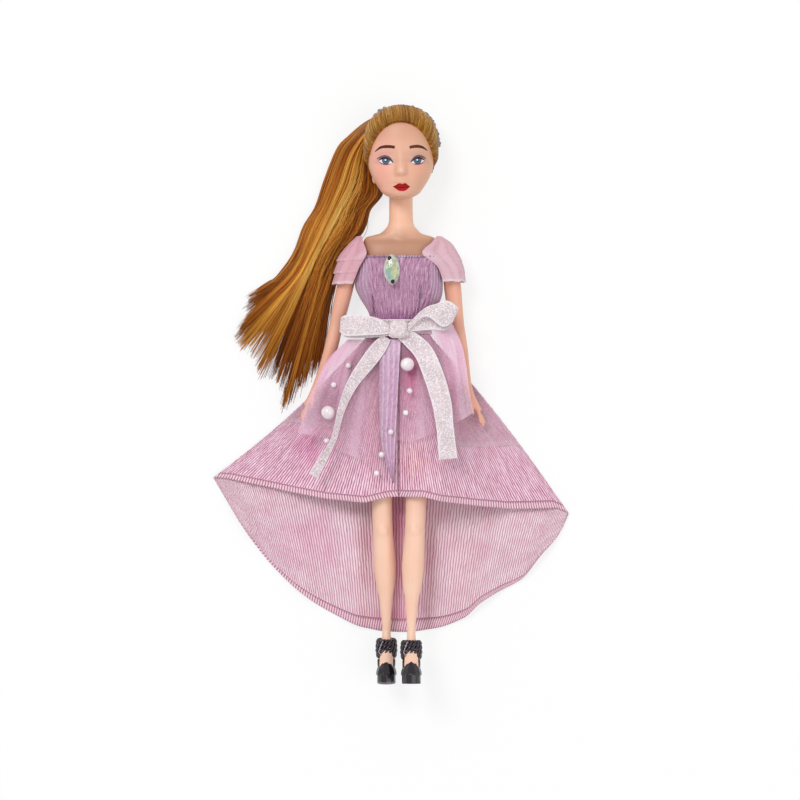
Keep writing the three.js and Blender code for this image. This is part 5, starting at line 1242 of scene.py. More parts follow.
def build_tail_strands():
    n = TAIL_HAIRS
    strays = STRAY_HAIRS
    t = np.linspace(0, 1, 34)
    clump_w = np.sort(rng.uniform(0, 1, TAIL_CLUMPS))
    clump_h = rng.uniform(0.3, 1, TAIL_CLUMPS)
    clump_short = rng.uniform(0, 0.055, TAIL_CLUMPS)
    clump_light = rng.normal(0, 0.09, TAIL_CLUMPS)
    paths, tones = [], []
    for _ in range(n):
        c = rng.integers(TAIL_CLUMPS)
        w = float(np.clip(clump_w[c] + rng.normal(0, 0.036), 0, 1))
        at = t * float(np.clip(1 - clump_short[c] - rng.exponential(0.022), 0.6, 1.0))
        wave = rng.normal(0, 0.9) * np.sin(math.pi * at) + 1.3 * np.sin(at * 11 + clump_w[c] * 40) * at
        level = float(np.clip(clump_h[c] + rng.normal(0, 0.07), 0.08, 1.02))
        paths.append(tail_path(w, at, tail_end(w) + rng.normal(0, 1.2, 2), level, wave))
        # Hairs that lie lower in the tail get painted shade.
        tones.append(tail_tones(w, at, clump_light[c] + rng.normal(0, 0.07) - 0.16 * (1 - level)))
    for _ in range(strays):
        w, begin = rng.uniform(0.55, 1.0), rng.uniform(0.25, 0.6)
        at = begin + t * rng.uniform(0.25, 0.38)
        wave = rng.uniform(-5, 5) * np.sin(math.pi * t) + rng.uniform(-3, 3) * np.sin(2 * math.pi * t)
        paths.append(tail_path(w, at, tail_end(w), 1.05, wave))
        tones.append(tail_tones(w, at, rng.uniform(0.2, 0.4)))
    size = np.concatenate([rng.uniform(0.15, 0.32, n), np.full(strays, 0.1)])
    hairs = strands("tail_strands", paths, tones, size)
    return hairs


def build_tail_mass():
    """The solid mass under the strands, with locks along it."""
    rings, sides = 60, 40
    mass = []
    for s in np.linspace(0, 1, rings):
        at = 0.02 + s * 0.93
        high = float(tail_height(at))
        ring = []
        for a in np.linspace(0, 2 * np.pi, sides, endpoint=False):
            w = 0.5 - 0.47 * math.cos(a)
            px, py = tail_point(w, at * (1 - 0.08 * math.sin(w * 23) ** 2 * s), tail_end(w))
            rise = 0.36 * (1 + 0.1 * math.sin(w * 60)) if math.sin(a) > 0 else 0.38
            z = max(0.1, high * (0.42 + rise * math.sin(a)) * mix(1, 0.6, s))
            x, y = spot(px, py, z)
            root = tail_root(w, 0.5 + 0.5 * math.sin(a))
            ring.append(mix(np.array([x, y, z]), root, max(0, 1 - at / ROOT_SHARE) ** 2))
        mass.append(ring)
    verts, faces = outward(ring_mesh(mass))
    uv = np.zeros((len(verts), 2))
    uv[:rings * sides, 0] = np.tile(np.linspace(0, 1, sides), rings)
    uv[:rings * sides, 1] = np.repeat(np.linspace(0, 1, rings), sides)
    body = mesh_object("tail_mass", verts, faces, hair_base_look, uv=uv)
    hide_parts("ponytail")
    return body


def build_tail():
    for obj in (build_tail_strands(), build_tail_mass()):
        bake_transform(obj)


def build_hair_tie():
    """A thick twisted elastic round the root of the tail."""
    radius, rounds = 3.0, 64
    side = np.cross(TAIL_WAY, [0.0, 0.0, 1.0])
    side /= np.linalg.norm(side)
    top = np.cross(side, TAIL_WAY)
    centre = TAIL_ROOT + TAIL_WAY * 2.2
    rings = []
    for i in range(rounds):
        a = 2 * math.pi * i / rounds
        out = side * math.cos(a) + top * math.sin(a)
        ring = []
        for b in np.linspace(0, 2 * np.pi, 14, endpoint=False):
            thick = 0.75 + 0.08 * math.sin(8 * a + b)
            ring.append(centre + out * (radius + thick * math.cos(b)) + TAIL_WAY * thick * math.sin(b))
        rings.append(ring)
    rings.append(rings[0])
    elastic = Look("elastic", rgb(96, 52, 26), roughness=0.8)
    tie = mesh_object("hair_elastic", *outward(ring_mesh(rings, capped=False)), elastic)
    settle(tie, "head", "hair_elastic", "hair_tie")


# Beads of the hairband: distance along it, radius, and radius of every fourth
BEAD_PITCH, BEAD_RADIUS, LARGE_BEAD_RADIUS = 2.15, 0.72, 0.98
# The band's node is a tube with this many points to a ring
BAND_SIDES = 6


def build_hairband():
    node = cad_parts["hairband"]
    points = np.array([node.matrix_world @ v.co for v in node.data.vertices]) / MM
    middles = points[:len(points) // BAND_SIDES * BAND_SIDES].reshape(-1, BAND_SIDES, 3).mean(1)
    line = middles[np.argsort(np.arctan2(middles[:, 1] - 120, middles[:, 0] - NECK_X))]
    steps = np.concatenate([[0], np.cumsum(np.linalg.norm(np.diff(line, axis=0), axis=1))])

    def at(s):
        return np.stack([np.interp(s, steps, line[:, k]) for k in range(3)], -1)

    parts = []
    for i, place in enumerate(at(np.arange(1.0, steps[-1] - 0.5, BEAD_PITCH))):
        radius = BEAD_RADIUS if i % 4 else LARGE_BEAD_RADIUS
        parts.append(ball(place, (radius, radius, radius), 14))
    wire = at(np.linspace(0, steps[-1], 80))
    parts.append(tubes([wire], 0.22, 8, 1.0)[:2])
    band = mesh_object("hairband_beads", *joined(parts), bead_look)
    settle(band, "head", "silver_beads", "hairband")


# Dress


# Hems from the doll's right corner to the left one
TRAIN_HEM = np.array([
    (-95.5, -39), (-88.75, -50.5), (-78, -67.5), (-65.7, -83.5), (-50, -98), (-35.5, -107.5),
    (-18.5, -115), (-7, -117), (1, -117.2), (18, -115), (31.25, -110), (39.5, -102.5), (48, -97.25),
    (60.3, -90.5), (70, -78.5), (79.5, -67.5), (84.5, -57)])
FRONT_HEM = np.array([
    (-95.5, -39), (-88.75, -39.5), (-74, -42.5), (-55, -46.5), (-38, -49.5), (-18.5, -51),
    (-7.5, -48.4), (-1.6, -48), (10.5, -48), (20.5, -50.5), (37.5, -53), (55.5, -55), (78.5, -54.6),
    (84.5, -57)])


def seam_line(side, v):
    """The side seam from the waist to the hem's corner."""
    corner_x, corner_y = HEM_CORNERS[side]
    x = mix(HIP_X + side * WAIST_HALF, corner_x, v)
    return x, mix(SKIRT_TOP_Y, corner_y, v) + SEAM_BOW[side] * np.sin(np.pi * v)


def body_half(y):
    """Half the width of the body that the skirt lies on."""
    return mix(WAIST_HALF, HIP_HALF_WIDTH + 2.5, smooth((SKIRT_TOP_Y - y) / 16))


def thigh_top(x, y):
    """Height of the front of trunk and thighs."""
    drop = np.maximum(0, HIP_Y - y)
    near = trunk_at(np.maximum(y, HIP_Y + 3))
    trunk = near[..., 1] + near[..., 3]
    lift = drop * math.tan(LEFT_RAISE) * smooth((x - HIP_X + 3) / 10)
    leg = BODY_Z + mix(HIP_DRUM, 8.2, smooth((drop + 4) / 50)) + lift
    return mix(trunk, leg, smooth((HIP_Y + 16 - y) / 16))


def front_height(x, y, reach):
    """Height of the front cloth, which falls from the thighs to the floor within reach of the middle."""
    side = np.abs(x - HIP_X)
    half = body_half(y)
    top = thigh_top(x, y) + SEAT_GAP + FABRIC
    low = 2 * FABRIC + SEAT_GAP
    t = np.clip((side - half) / np.maximum(4, reach - half), 0, 1)
    return low + (top - low) * (1 - t) ** 2.6


def front_fold(u, v):
    wave = 0.5 - 0.5 * np.cos(2 * np.pi * 3 * u)
    fine = 0.16 * np.sin(2 * np.pi * 13 * u + 2 * np.sin(7 * u)) * smooth(v * 3)
    return 1.6 * wave * smooth(v * 1.5 - 0.3) + fine


def front_xy(side, u, v):
    """Places of the front cloth: u from the middle to the seam, v from the waist to the hem."""
    corner_x, corner_y = HEM_CORNERS[side]
    centre_x = HIP_X + side * 0.2
    sx, sy = seam_line(side, v)
    x = mix(centre_x, sx, u)
    hem_x = mix(centre_x, corner_x, u)
    hem_y = np.interp(hem_x, FRONT_HEM[:, 0], FRONT_HEM[:, 1])
    y = mix(SKIRT_TOP_Y, hem_y, v) + (sy - mix(SKIRT_TOP_Y, corner_y, v)) * u
    return x, y


def fold_with_leg(obj):
    """Gives the piece a mesh of its own."""
    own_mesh(obj)


# Grid columns to each rib of the cloth
RIB_COLUMNS = 5


def front_surface(side, u, v):
    x, y = front_xy(side, u, v)
    reach = np.abs(seam_line(side, v)[0] - HIP_X)
    edge = 1 - smooth((u - 0.75) / 0.25)
    z = front_height(x, y, reach) + front_fold(u, v) * edge
    return np.stack([x, y, z], -1)


def build_front_skirt(side):
    name = SIDE_NAMES[side]
    columns, rows = FRONT_RIBS * RIB_COLUMNS + 1, 120
    u, v = unit_grid(columns, rows)
    p = front_surface(side, u, v)
    rib = 0.11 * np.sin(2 * np.pi * FRONT_RIBS * u) * smooth(v * 2) * smooth((1 - v) * 30)
    roll = 0.28 * bell(v - 0.965, 0.018)
    p[..., 2] += rib + roll
    tone = tinted(p[..., 0], p[..., 1], FRONT_GLOWS)
    skirt = sheet_object(f"skirt_front_{name}_cloth", p, skirt_look, 0.4, np.stack([u, v], -1), tone)
    add_hem(skirt, rows, columns, 5, front_hem_look)
    settle(skirt, "torso", "striped_fabric", f"skirt_front_{name}")
    fold_with_leg(skirt)


# Glows of other colours on the cloth: place, reach in x and y, and the share of red, green and blue kept. The
# train's deep pink ones down its middle, between the legs, are painted shade.
FRONT_GLOWS = [
    ((5.5, 14.0), (6.0, 14.0), (0.92, 0.4, 0.6)),
    ((-26.0, 14.0), (9.0, 14.0), (0.98, 0.76, 0.88)),
    ((27.0, 8.0), (9.0, 18.0), (0.98, 0.76, 0.88)),
    ((6.0, -30.5), (6.5, 9.0), (1.0, 0.9, 0.82)),
    ((-13.5, -8.0), (6.0, 24.0), (1.0, 0.93, 0.88)),
    ((-47.0, -24.0), (7.0, 9.0), (1.0, 0.78, 0.92)),
]
TRAIN_TINTS_AND_SHADE = [
    ((-48.0, -72.5), (16.0, 12.0), (1.0, 0.86, 0.95)),
    # Painted shade down the middle of the train between the legs.
    ((-1.6, -60.0), (7.5, 16.0), (0.88, 0.55, 0.7)),
    ((-1.6, -88.0), (9.0, 16.0), (0.95, 0.72, 0.82)),
    ((-3.0, -112.0), (12.0, 9.0), (0.88, 0.6, 0.74)),
]


def tinted(x, y, glows):
    """Tones of the cloth, white but for the glows, some of which are painted shade."""
    tone = np.ones(x.shape + (3,))
    for (cx, cy), (wx, wy), kept in glows:
        share = np.exp(-((x - cx) / wx) ** 2 - ((y - cy) / wy) ** 2)[..., None]
        tone = tone * mix(1, np.array(kept), share)
    return tone.reshape(-1, 3)


def add_hem(obj, rows, columns, last, look):
    """The last rows of the cloth get the hem's own material."""
    obj.data.materials.append(look.material)
    per_column = rows - 1
    count = (columns - 1) * per_column
    for index, face in enumerate(obj.data.polygons):
        if index < 2 * count and index % per_column >= per_column - last:
            face.material_index = 1


def train_fold(x, y, u):
    """Folds of the train beside the legs, only below the front hem."""
    wave = 0.5 - 0.5 * np.cos(2 * np.pi * 6 * u)
    beside = smooth((np.abs(x - HIP_X) - 13) / 9)
    right, left = HEM_CORNERS[-1], HEM_CORNERS[1]
    corner_x, corner_y = (np.where(x < HIP_X, right[k], left[k]) for k in (0, 1))
    line = mix(-50.0, corner_y, np.clip((x - HIP_X) / (corner_x - HIP_X), 0, 1))
    return 3 * wave * beside * smooth((line - 4 - y) / 14)


def build_train():
    """The back cloth: rows of ribs that fan out from the waist to the hem."""
    columns, rows = TRAIN_RIBS * RIB_COLUMNS + 1, 90
    hem_x = np.linspace(TRAIN_HEM[0, 0], TRAIN_HEM[-1, 0], columns)
    hem_y = through(TRAIN_HEM[:, 0], TRAIN_HEM[:, 1], hem_x)
    fan = 0.0042
    steps = 400
    seams = {side: seam_line(side, np.linspace(0, 1, steps)) for side in (-1, 1)}
    top = []
    for hx, hy in zip(hem_x, hem_y):
        side = -1 if hx < HIP_X else 1
        up = np.linspace(hy, SKIRT_TOP_Y, steps)
        line = HIP_X + (hx - HIP_X) * np.exp(fan * (up - hy))
        sx, sy = seams[side]
        edge_x = np.interp(-up, -sy, sx)
        beyond = np.abs(line - HIP_X) > np.abs(edge_x - HIP_X) + 1e-6
        inside = np.argmax(beyond) if beyond.any() else len(up) - 1
        top.append(up[max(inside, 1)])
    v = np.linspace(0, 1, rows)
    y = mix(np.asarray(top)[:, None], hem_y[:, None], v[None])
    x = HIP_X + (hem_x - HIP_X)[:, None] * np.exp(fan * (y - hem_y[:, None]))
    share = np.linspace(0, 1, columns)[:, None] * np.ones_like(y)
    flow = ripple(x, y, 0.045, 3.0)
    z = FABRIC + train_fold(x, y, share + 0.012 * flow)
    loose = smooth((-52 - y) / 12)
    rib = 0.1 * np.sin(2 * np.pi * TRAIN_RIBS * share) * smooth((1 - v) * 25)[None]
    roll = 0.3 * bell(v - 0.97, 0.015)[None]
    p = np.stack([x, y, z + rib + 0.4 * loose * (flow * 0.5 + 0.5) + roll], -1)
    uv = np.stack([share, np.broadcast_to(v[None], share.shape)], -1)
    train = sheet_object("train_cloth", p, train_look, 0.4, uv, tinted(x, y, TRAIN_TINTS_AND_SHADE))
    add_hem(train, rows, columns, 4, train_hem_look)
    settle(train, "torso", "striped_fabric", "skirt_back")


def overskirt_base(x, y):
    """Height of the underside of the overskirt on the front cloth."""
    side = np.abs(x - HIP_X)
    away = smooth((SKIRT_TOP_Y - y) / 14)
    rise = SEAT_GAP + FABRIC + SEAT_GAP + away * (1.6 + TULLE + 2 * SEAT_GAP)
    return thigh_top(x, y) + rise - 0.25 * np.maximum(0, side - body_half(y))


LAYER_TOP = SKIRT_TOP_Y - 2.4
# Inner edge, outer edge and hem of each front layer, from above
FRONT_LAYERS = {
    "right": ([(-3.2, LAYER_TOP), (-4, 8), (-5, -14), (-8, -38)],
              [(-27, LAYER_TOP), (-34.8, 22.5), (-39.2, 16), (-42.6, 8.5), (-46.8, 0), (-52, -16.5)],
              [(-52, -16.5), (-39, -19), (-31.8, -25), (-21.5, -29.2), (-13.6, -34.8), (-8, -38)]),
    "left": ([(-2.6, LAYER_TOP), (-3.2, 12), (-3.4, -4), (-3, -19.5)],
             [(25, 38), (29.6, 28), (31.8, 17.6), (33.6, 4.6), (35.4, -6.4)],
             [(35.4, -6.4), (28, -10.6), (15.5, -16.6), (4, -20.6), (-3, -19.5)]),
}
# Folded edge of each front layer as a share of its width, and the place and width of the folds lying on it
EDGE_SHARE = {"right": 0.15, "left": 0.25}
FOLDS = {"right": ((0.42, 0.05), (0.66, 0.04)), "left": ((0.34, 0.05), (0.6, 0.03))}
EDGE_PALENESS = {-1: 0.55, 1: 1.0}


def build_front_tulle(side):
    name = SIDE_NAMES[side]
    inner, outer, hem = FRONT_LAYERS[name]
    columns, rows = 170, 120
    u, v = unit_grid(columns, rows)
    xy = mix(rounded(inner, v), rounded(outer, v), u[..., None])
    across = u[:, 0]
    hem_line = rounded(hem[::-1], across)
    chord = mix(np.array(inner[-1]), np.array(outer[-1]), across[:, None])
    xy = xy + (hem_line - chord)[:, None, :] * (v ** 2)[..., None]
    x, y = xy[..., 0], xy[..., 1]
    pleat = 0.5 - 0.5 * np.cos(2 * np.pi * 3 * u)
    fine = 0.22 * np.sin(2 * np.pi * (9 * u + 0.6 * v)) + 0.12 * np.sin(2 * np.pi * 17 * u + 3 * v)
    z = overskirt_base(x, y) + TULLE + 0.9 * pleat * v + fine * smooth(v * 4)
    edge = smooth((u - 1 + EDGE_SHARE[name] + 0.02 * np.sin(v * 9)) / 0.09)
    folds = sum(bell(u - at - 0.03 * v, width) for at, width in FOLDS[name]) * smooth((v - 0.2) * 4)
    z = z + 0.4 * edge * smooth(v * 5) + 0.35 * folds
    gathers = (0.5 + 0.5 * np.sin(2 * np.pi * 26 * u + 4 * np.sin(9 * u))) * (1 - smooth(v / 0.4))
    bare = smooth((u - 0.62) / 0.12) * (1 - smooth((v - 0.5) / 0.25))
    tone = np.stack([
        0.3 * edge + 0.4 * bare + 0.24 * folds + 0.2 * gathers - 0.2 * bell(x - 5.5, 5) * bell(y - 14, 12),
        EDGE_PALENESS[side] * (0.5 * edge + 0.5 * folds) * (0.75 + 0.25 * np.sin(14 * u + 9 * v)),
        0.28 * bell(x + 48, 5) * bell(y + 12, 9) * (1 - edge) + 0.08 * bare,
    ], -1)
    points = np.stack([x, y, z], -1)
    layer = sheet_object(f"tulle_front_{name}_net", points, tulle_front_look, tone=tone.reshape(-1, 3))
    finish_overskirt(layer, f"tulle_front_{name}")


def finish_overskirt(obj, node, slot="glitter_tulle"):
    """Hangs a piece of the overskirt on the torso in place of its node, with a mesh of its own."""
    settle(obj, "torso", slot, node)
    fold_with_leg(obj)


# Shares of the front cloth that the back layers cover: across from, along from, and along to on each side
BACK_LAYER_FROM, BACK_LAYER_TOP = 5 / 13, 1 / 9
BACK_LAYER_LOW = {-1: 5 / 9, 1: 6 / 9}


def build_back_tulle(side):
    name = SIDE_NAMES[side]
    columns, rows = 110, 90
    low = BACK_LAYER_LOW[side]
    u, v = unit_grid(columns, rows)
    u, v = mix(BACK_LAYER_FROM, 0.995, u), mix(BACK_LAYER_TOP, low, v)
    p = front_surface(side, u, v)
    p[..., 2] += SEAT_GAP + TULLE + 0.1 * np.sin(u * 90)
    rim = np.clip(smooth((u - 0.955) / 0.015) + smooth((v - low + 0.035) / 0.015), 0, 1)
    tone = np.stack([0.14 * rim, 0.25 * rim, np.zeros_like(u)], -1).reshape(-1, 3)
    layer = sheet_object(f"tulle_back_{name}_net", p, tulle_back_look, tone=tone)
    finish_overskirt(layer, f"tulle_back_{name}")


# Left and right edge of the centre panel, from the waist down
PANEL_LEFT = [(-0.6, LAYER_TOP), (-1.6, 12), (-2.6, -6), (-3.2, -23), (-4, -41)]
PANEL_RIGHT = [(-11, LAYER_TOP), (-11.2, 12), (-11.2, -6), (-10.2, -23), (-4.6, -41.4)]


def build_centre_panel():
    columns, rows = 40, 110
    u, v = unit_grid(columns, rows)
    xy = mix(rounded(PANEL_LEFT, v), rounded(PANEL_RIGHT, v), u[..., None])
    x, y = xy[..., 0], xy[..., 1]
    pleats = np.sin(u * 24 + 1.5 * np.sin(v * 5))
    z = overskirt_base(x, y) + TULLE + 0.9 + SEAT_GAP + TULLE + 0.35 * pleats * smooth(v * 4)
    p = np.stack([x, y, z], -1)
    fray = ripple(u * 40, v * 160, 0.25, 9.0)
    tone = np.stack([0.12 * pleats - 0.3 * smooth((u - 0.6) / 0.4) + 0.2 * fray, 0.2 * pleats + 0.3 * fray,
                     0.1 * bell(u - 0.3, 0.12) * smooth(v * 3)], -1).reshape(-1, 3)
    panel = sheet_object("centre_panel_net", p, panel_look, 0.15, tone=tone)
    finish_overskirt(panel, "tulle_centre_panel", "panel_tulle")


BODICE_EDGE_Y = BODICE_TOP_Y + 1.3
# Painted shade in creases of the bodice: two ends each
BODICE_CREASE_SHADE = [((9.4, 58.5), (8.4, 46.5)), ((-14.8, 54), (-13.8, 41.5))]


def bodice_tones(points, ridge):
    """Painted shade between the crinkles and in the creases, darker under the neckline, and plum under the
    bust.
    """
    x, y = points[..., 0], points[..., 1]
    # Painted shade between the crinkles and, below, in the creases.
    dark = 0.16 * (0.5 - 0.5 * ridge) + 0.5 * bell(y - (BODICE_EDGE_Y - 1.0), 0.3)
    for (x0, y0), (x1, y1) in BODICE_CREASE_SHADE:
        t = (y - y0) / (y1 - y0)
        dark = dark + 0.6 * bell(x - mix(x0, x1, t), 0.4) * smooth(t * 5) * smooth((1 - t) * 5)
    dark = np.where(points[..., 2] > BODY_Z, dark, 0.1)
    tone = (1 - np.clip(dark, 0, 0.7))[..., None] * np.ones(3)
    arch = (smooth((45.5 - y) / 4) * bell(x + 1.5, 9))[..., None]
    return tone * mix(1, np.array([0.72, 0.56, 0.76]), arch)


def build_bodice():
    columns, rows = 440, 110
    turn = np.linspace(0, 2 * np.pi, columns, endpoint=False)
    heights = np.linspace(BAND_Y - BAND_HEIGHT / 2 + 0.3, BODICE_EDGE_Y, rows)
    a, y = np.meshgrid(turn, heights, indexing="ij")
    wander = ripple(a * 30, y, 0.12, 5.0)
    ridge = np.sin(46 * a + 1.5 * wander)
    crinkle = 0.2 * ridge + 0.13 * np.sin(101 * a + 2.4 * wander) + 0.1 * wander
    hem = 0.35 * bell(y - (BODICE_EDGE_Y - 0.5), 0.4)
    sideways = np.cos(a)
    loose = np.abs(sideways) ** 3 * np.where(sideways < 0, 3.0 * bell(y - 55, 6), 3.0 * bell(y - 51.5, 5.5))
    outer = trunk_ring(y, a, BODICE_GROW + 0.1 + crinkle + hem + loose)
    inner = trunk_ring(y, a, np.full_like(a, 0.75))
    u = np.repeat(np.linspace(0, 1, columns), rows)
    v = np.tile(np.linspace(0, 1, rows), columns)
    uv = np.tile(np.stack([u, v], 1), (2, 1))
    tone = np.tile(bodice_tones(outer, ridge).reshape(-1, 3), (2, 1))
    bodice = mesh_object("bodice_cloth_body", *band_mesh(outer, inner), bodice_look, uv=uv, tone=tone)
    settle(bodice, "torso", "bodice_fabric", "bodice")


# White stitches at the neckline: where they start and end across the doll, their pitch and their length
STITCH_FROM, STITCH_TO, STITCH_PITCH, STITCH_LENGTH = -2.0, 8.4, 1.45, 0.85


def build_neckline_thread():
    x0, z0, wide, deep, square = trunk_at(np.array([BODICE_EDGE_Y - 0.9]))[0]
    dashes = []
    for start in np.arange(STITCH_FROM, STITCH_TO, STITCH_PITCH):
        dx = start - x0 + np.linspace(0, STITCH_LENGTH, 4)
        lean = np.abs(dx / (wide + BODICE_GROW)) ** (1 / square)
        z = z0 + (deep + BODICE_GROW + 0.42) * np.sqrt(1 - lean ** 2) ** square
        dashes.append(np.stack([x0 + dx, np.full(4, BODICE_EDGE_Y - 0.7), z], -1))
    verts, quads, _, _ = tubes(dashes, 0.17, 6, 1.0)
    thread = mesh_object("neckline_thread", verts, quads, paint_look("white_thread", rgb(242, 234, 242), 0.5))
    settle(thread, "torso", "bodice_fabric")


def build_waist_ribbon():
    turn = np.linspace(0, 2 * np.pi, 200, endpoint=False)
    heights = np.linspace(BAND_Y - BAND_HEIGHT / 2, BAND_Y + BAND_HEIGHT / 2, 30)
    a, y = np.meshgrid(turn, heights, indexing="ij")
    crease = 0.14 * np.sin((y - BAND_Y) * 2.6 + 1.2 * np.sin(a * 5))
    outer = trunk_ring(y, a, RIBBON_GROW + 0.5 + crease)
    inner = trunk_ring(y, a, np.full_like(y, RIBBON_GROW))
    uv = np.tile(np.stack([a / (2 * np.pi), (y - heights[0]) / BAND_HEIGHT], -1).reshape(-1, 2), (2, 1))
    band = mesh_object("waist_ribbon_band", *band_mesh(outer, inner), ribbon_look, uv=uv)
    settle(band, "torso", "ribbon_glitter", "waist_ribbon")


BOW_Y, BOW_X = 35.0, -1.7
# The knot from below to above: y from its middle, height over the ribbon, half width and half depth
KNOT_ROWS = [(-4.4, 2.4, 3.0, 1.6), (-3, 2.4, 5.1, 2.5), (0, 2.6, 4.9, 2.9), (3, 2.4, 5.1, 2.5),
             (4.4, 2.4, 3.0, 1.6)]


def bow_z():
    """Height of the front of the waist ribbon under the bow."""
    near = trunk_at(np.array([BOW_Y]))[0]
    return near[1] + near[3] + RIBBON_GROW + 0.5 + SEAT_GAP


def build_bow():
    base = bow_z()
    knot = loft([[BOW_Y + dy, BOW_X, base + rise, half, deep] for dy, rise, half, deep in KNOT_ROWS], 72, 60)
    angle = np.linspace(0, 2 * np.pi, 72, endpoint=False)
    knot[..., 2] += (0.26 * np.sin(angle * 7 + 0.4 * knot[..., 1])) * smooth((knot[..., 2] - base) / 2)
    verts, faces = outward(ring_mesh(knot))
    obj = mesh_object("bow_knot_ribbon", verts, faces, ribbon_look, uv=np.full((len(verts), 2), 0.5))
    settle(obj, "torso", "ribbon_glitter", "bow_knot")
    for name in BOW_LOOPS:
        build_bow_loop(name, base)


# Edges of each bow loop in pixels, knot to tip: top and bottom of its front, then of its back
BOW_LOOPS = {
    "right": ([(389, 325.5), (380.5, 319.3), (368, 315.9), (355.6, 314.5), (346, 315), (341, 317.5)],
              [(389, 333.5), (380, 334.6), (368, 335.2), (355, 335.8), (345, 335.6), (339.5, 331.5)],
              [(389, 327), (380.5, 321.5), (368, 317.5), (355.6, 316), (346, 316), (341, 317.5)],
              [(389, 335.5), (379, 337), (367, 338), (354, 338.4), (345, 336.8), (339.5, 331.5)]),
    "left": ([(408, 324.5), (415, 317), (421, 311), (428.5, 306), (437, 303.6), (442, 301.2), (447, 300.6),
              (453, 303.2), (458.5, 308.5)],
             [(408, 331), (414, 324.6), (419, 319.6), (425, 316.6), (431, 318.4), (436, 322.6), (440.5, 326),
              (446, 326.5), (453, 321.5)],
             [(408, 325), (415, 318.5), (421, 313), (428.5, 308.5), (437, 306), (442, 303.6), (447, 302.4),
              (453, 304.4), (458.5, 308.5)],
             [(408, 332), (415, 331), (423, 330.4), (430, 329.8), (436, 329.6), (440.5, 330.4), (445, 330),
              (449.5, 327), (453, 321.5)]),
}
LOOP_PUFF = 2.7


def build_bow_loop(name, base):
    columns, rows = 220, 34
    u, v = unit_grid(columns, rows)
    along = 1 - np.abs(1 - 2 * u) ** 1.5
    front_top, front_low, back_top, back_low = (rounded(edge, along) for edge in BOW_LOOPS[name])
    front, back = mix(front_top, front_low, v[..., None]), mix(back_top, back_low, v[..., None])
    pixels = np.where((u < 0.5)[..., None], front, back)
    puff = LOOP_PUFF * np.sqrt(np.clip(1 - along ** 5, 0, 1)) * (0.3 + 0.7 * smooth(along * 2.2))
    gathers = 0.3 * np.sin(v * 13 + along) * (1 - smooth(along / 0.5))
    crease = gathers + 0.28 * np.sin(along * 9 + v * 2) * smooth(along * 2)
    z = base + 3.3 + np.where(u < 0.5, puff + crease, -puff)
    x, y = spot(pixels[..., 0], pixels[..., 1], z)
    loop = sheet_object(f"bow_loop_{name}_ribbon", np.stack([x, y, z], -1), ribbon_look)
    solid = loop.modifiers.new("thick", "SOLIDIFY")
    solid.thickness = 0.25 * MM
    solid.offset = 0
    settle(loop, "torso", "ribbon_glitter", f"bow_loop_{name}")


# Height of the ribbon tails over the base of the overskirt
TAIL_LIFT = 3.1
# Way of each ribbon tail with its half width seen from above, and how far one edge of it stands up
RIBBON_TAILS = {
    "right": ([(-7.6, 31, 2.4), (-11, 26.5, 3.6), (-15.5, 20.5, 3.8), (-24.5, 8, 2.8), (-29.9, -4.5, 1.8),
               (-33.6, -18.8, 1.4), (-39.5, -30, 2.1), (-44, -37.8, 2.5)], 2.9),
    "left": ([(-1, 33.5, 3.0), (5, 29.4, 4.2), (11, 23, 4.8), (16, 11, 5.0), (19.6, -1.5, 4.8),
              (21.2, -13.5, 4.3), (22.8, -29.2, 4.6)], 0),
}


def build_ribbon_tail(side):
    points, lean = RIBBON_TAILS[side]
    columns, rows = 150, 26
    u, v = unit_grid(columns, rows)
    p = rounded(points, u)
    step = (rounded(points, np.clip(u + 0.005, 0, 1)) - rounded(points, np.clip(u - 0.005, 0, 1)))[..., :2]
    step /= np.linalg.norm(step, axis=-1, keepdims=True)
    off = (v - 0.5) * 2 * p[..., 2]
    x = p[..., 0] + off * step[..., 1]
    y = p[..., 1] - off * step[..., 0]
    waves = 0.25 * np.sin(u * 19 + v * 2) * smooth(u * 3)
    gathers = 0.25 * np.sin(v * 9 + u * 5) * (1 - smooth(u / 0.45))
    z = overskirt_base(x, y) + TAIL_LIFT + lean * v * smooth(u * 3) + waves + gathers
    tail = sheet_object(f"ribbon_tail_{side}_ribbon", np.stack([x, y, z], -1), ribbon_look, 0.2)
    finish_overskirt(tail, f"ribbon_tail_{side}", "ribbon_glitter")


def build_pearls():
    for name in [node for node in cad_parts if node.startswith("pearl_")]:
        lo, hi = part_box(name)
        centre = np.array((lo + hi) / 2) / MM
        radius = (hi - lo)[0] / 2 / MM
        pearl = mesh_object(f"{name}_bead", *ball(centre, (radius, radius, radius), 40), pearl_look)
        settle(pearl, "torso", "pearl", name)
        fold_with_leg(pearl)


# Rings of the gem from its base up: share of its outline, height, and turn in facets
GEM_RINGS = [(0.94, 0, 0), (1, 0.8, 0), (0.9, 1.5, 0.5), (0.68, 2.4, 0), (0.4, 2.85, 0.5), (0.12, 3.0, 0)]
GEM_FACETS = 16
# Sewing holes of the gem, from its middle; each shows as a dark ball of painted shade
GEM_HOLES = [(-1.1, 5.5), (0.4, -5.9)]


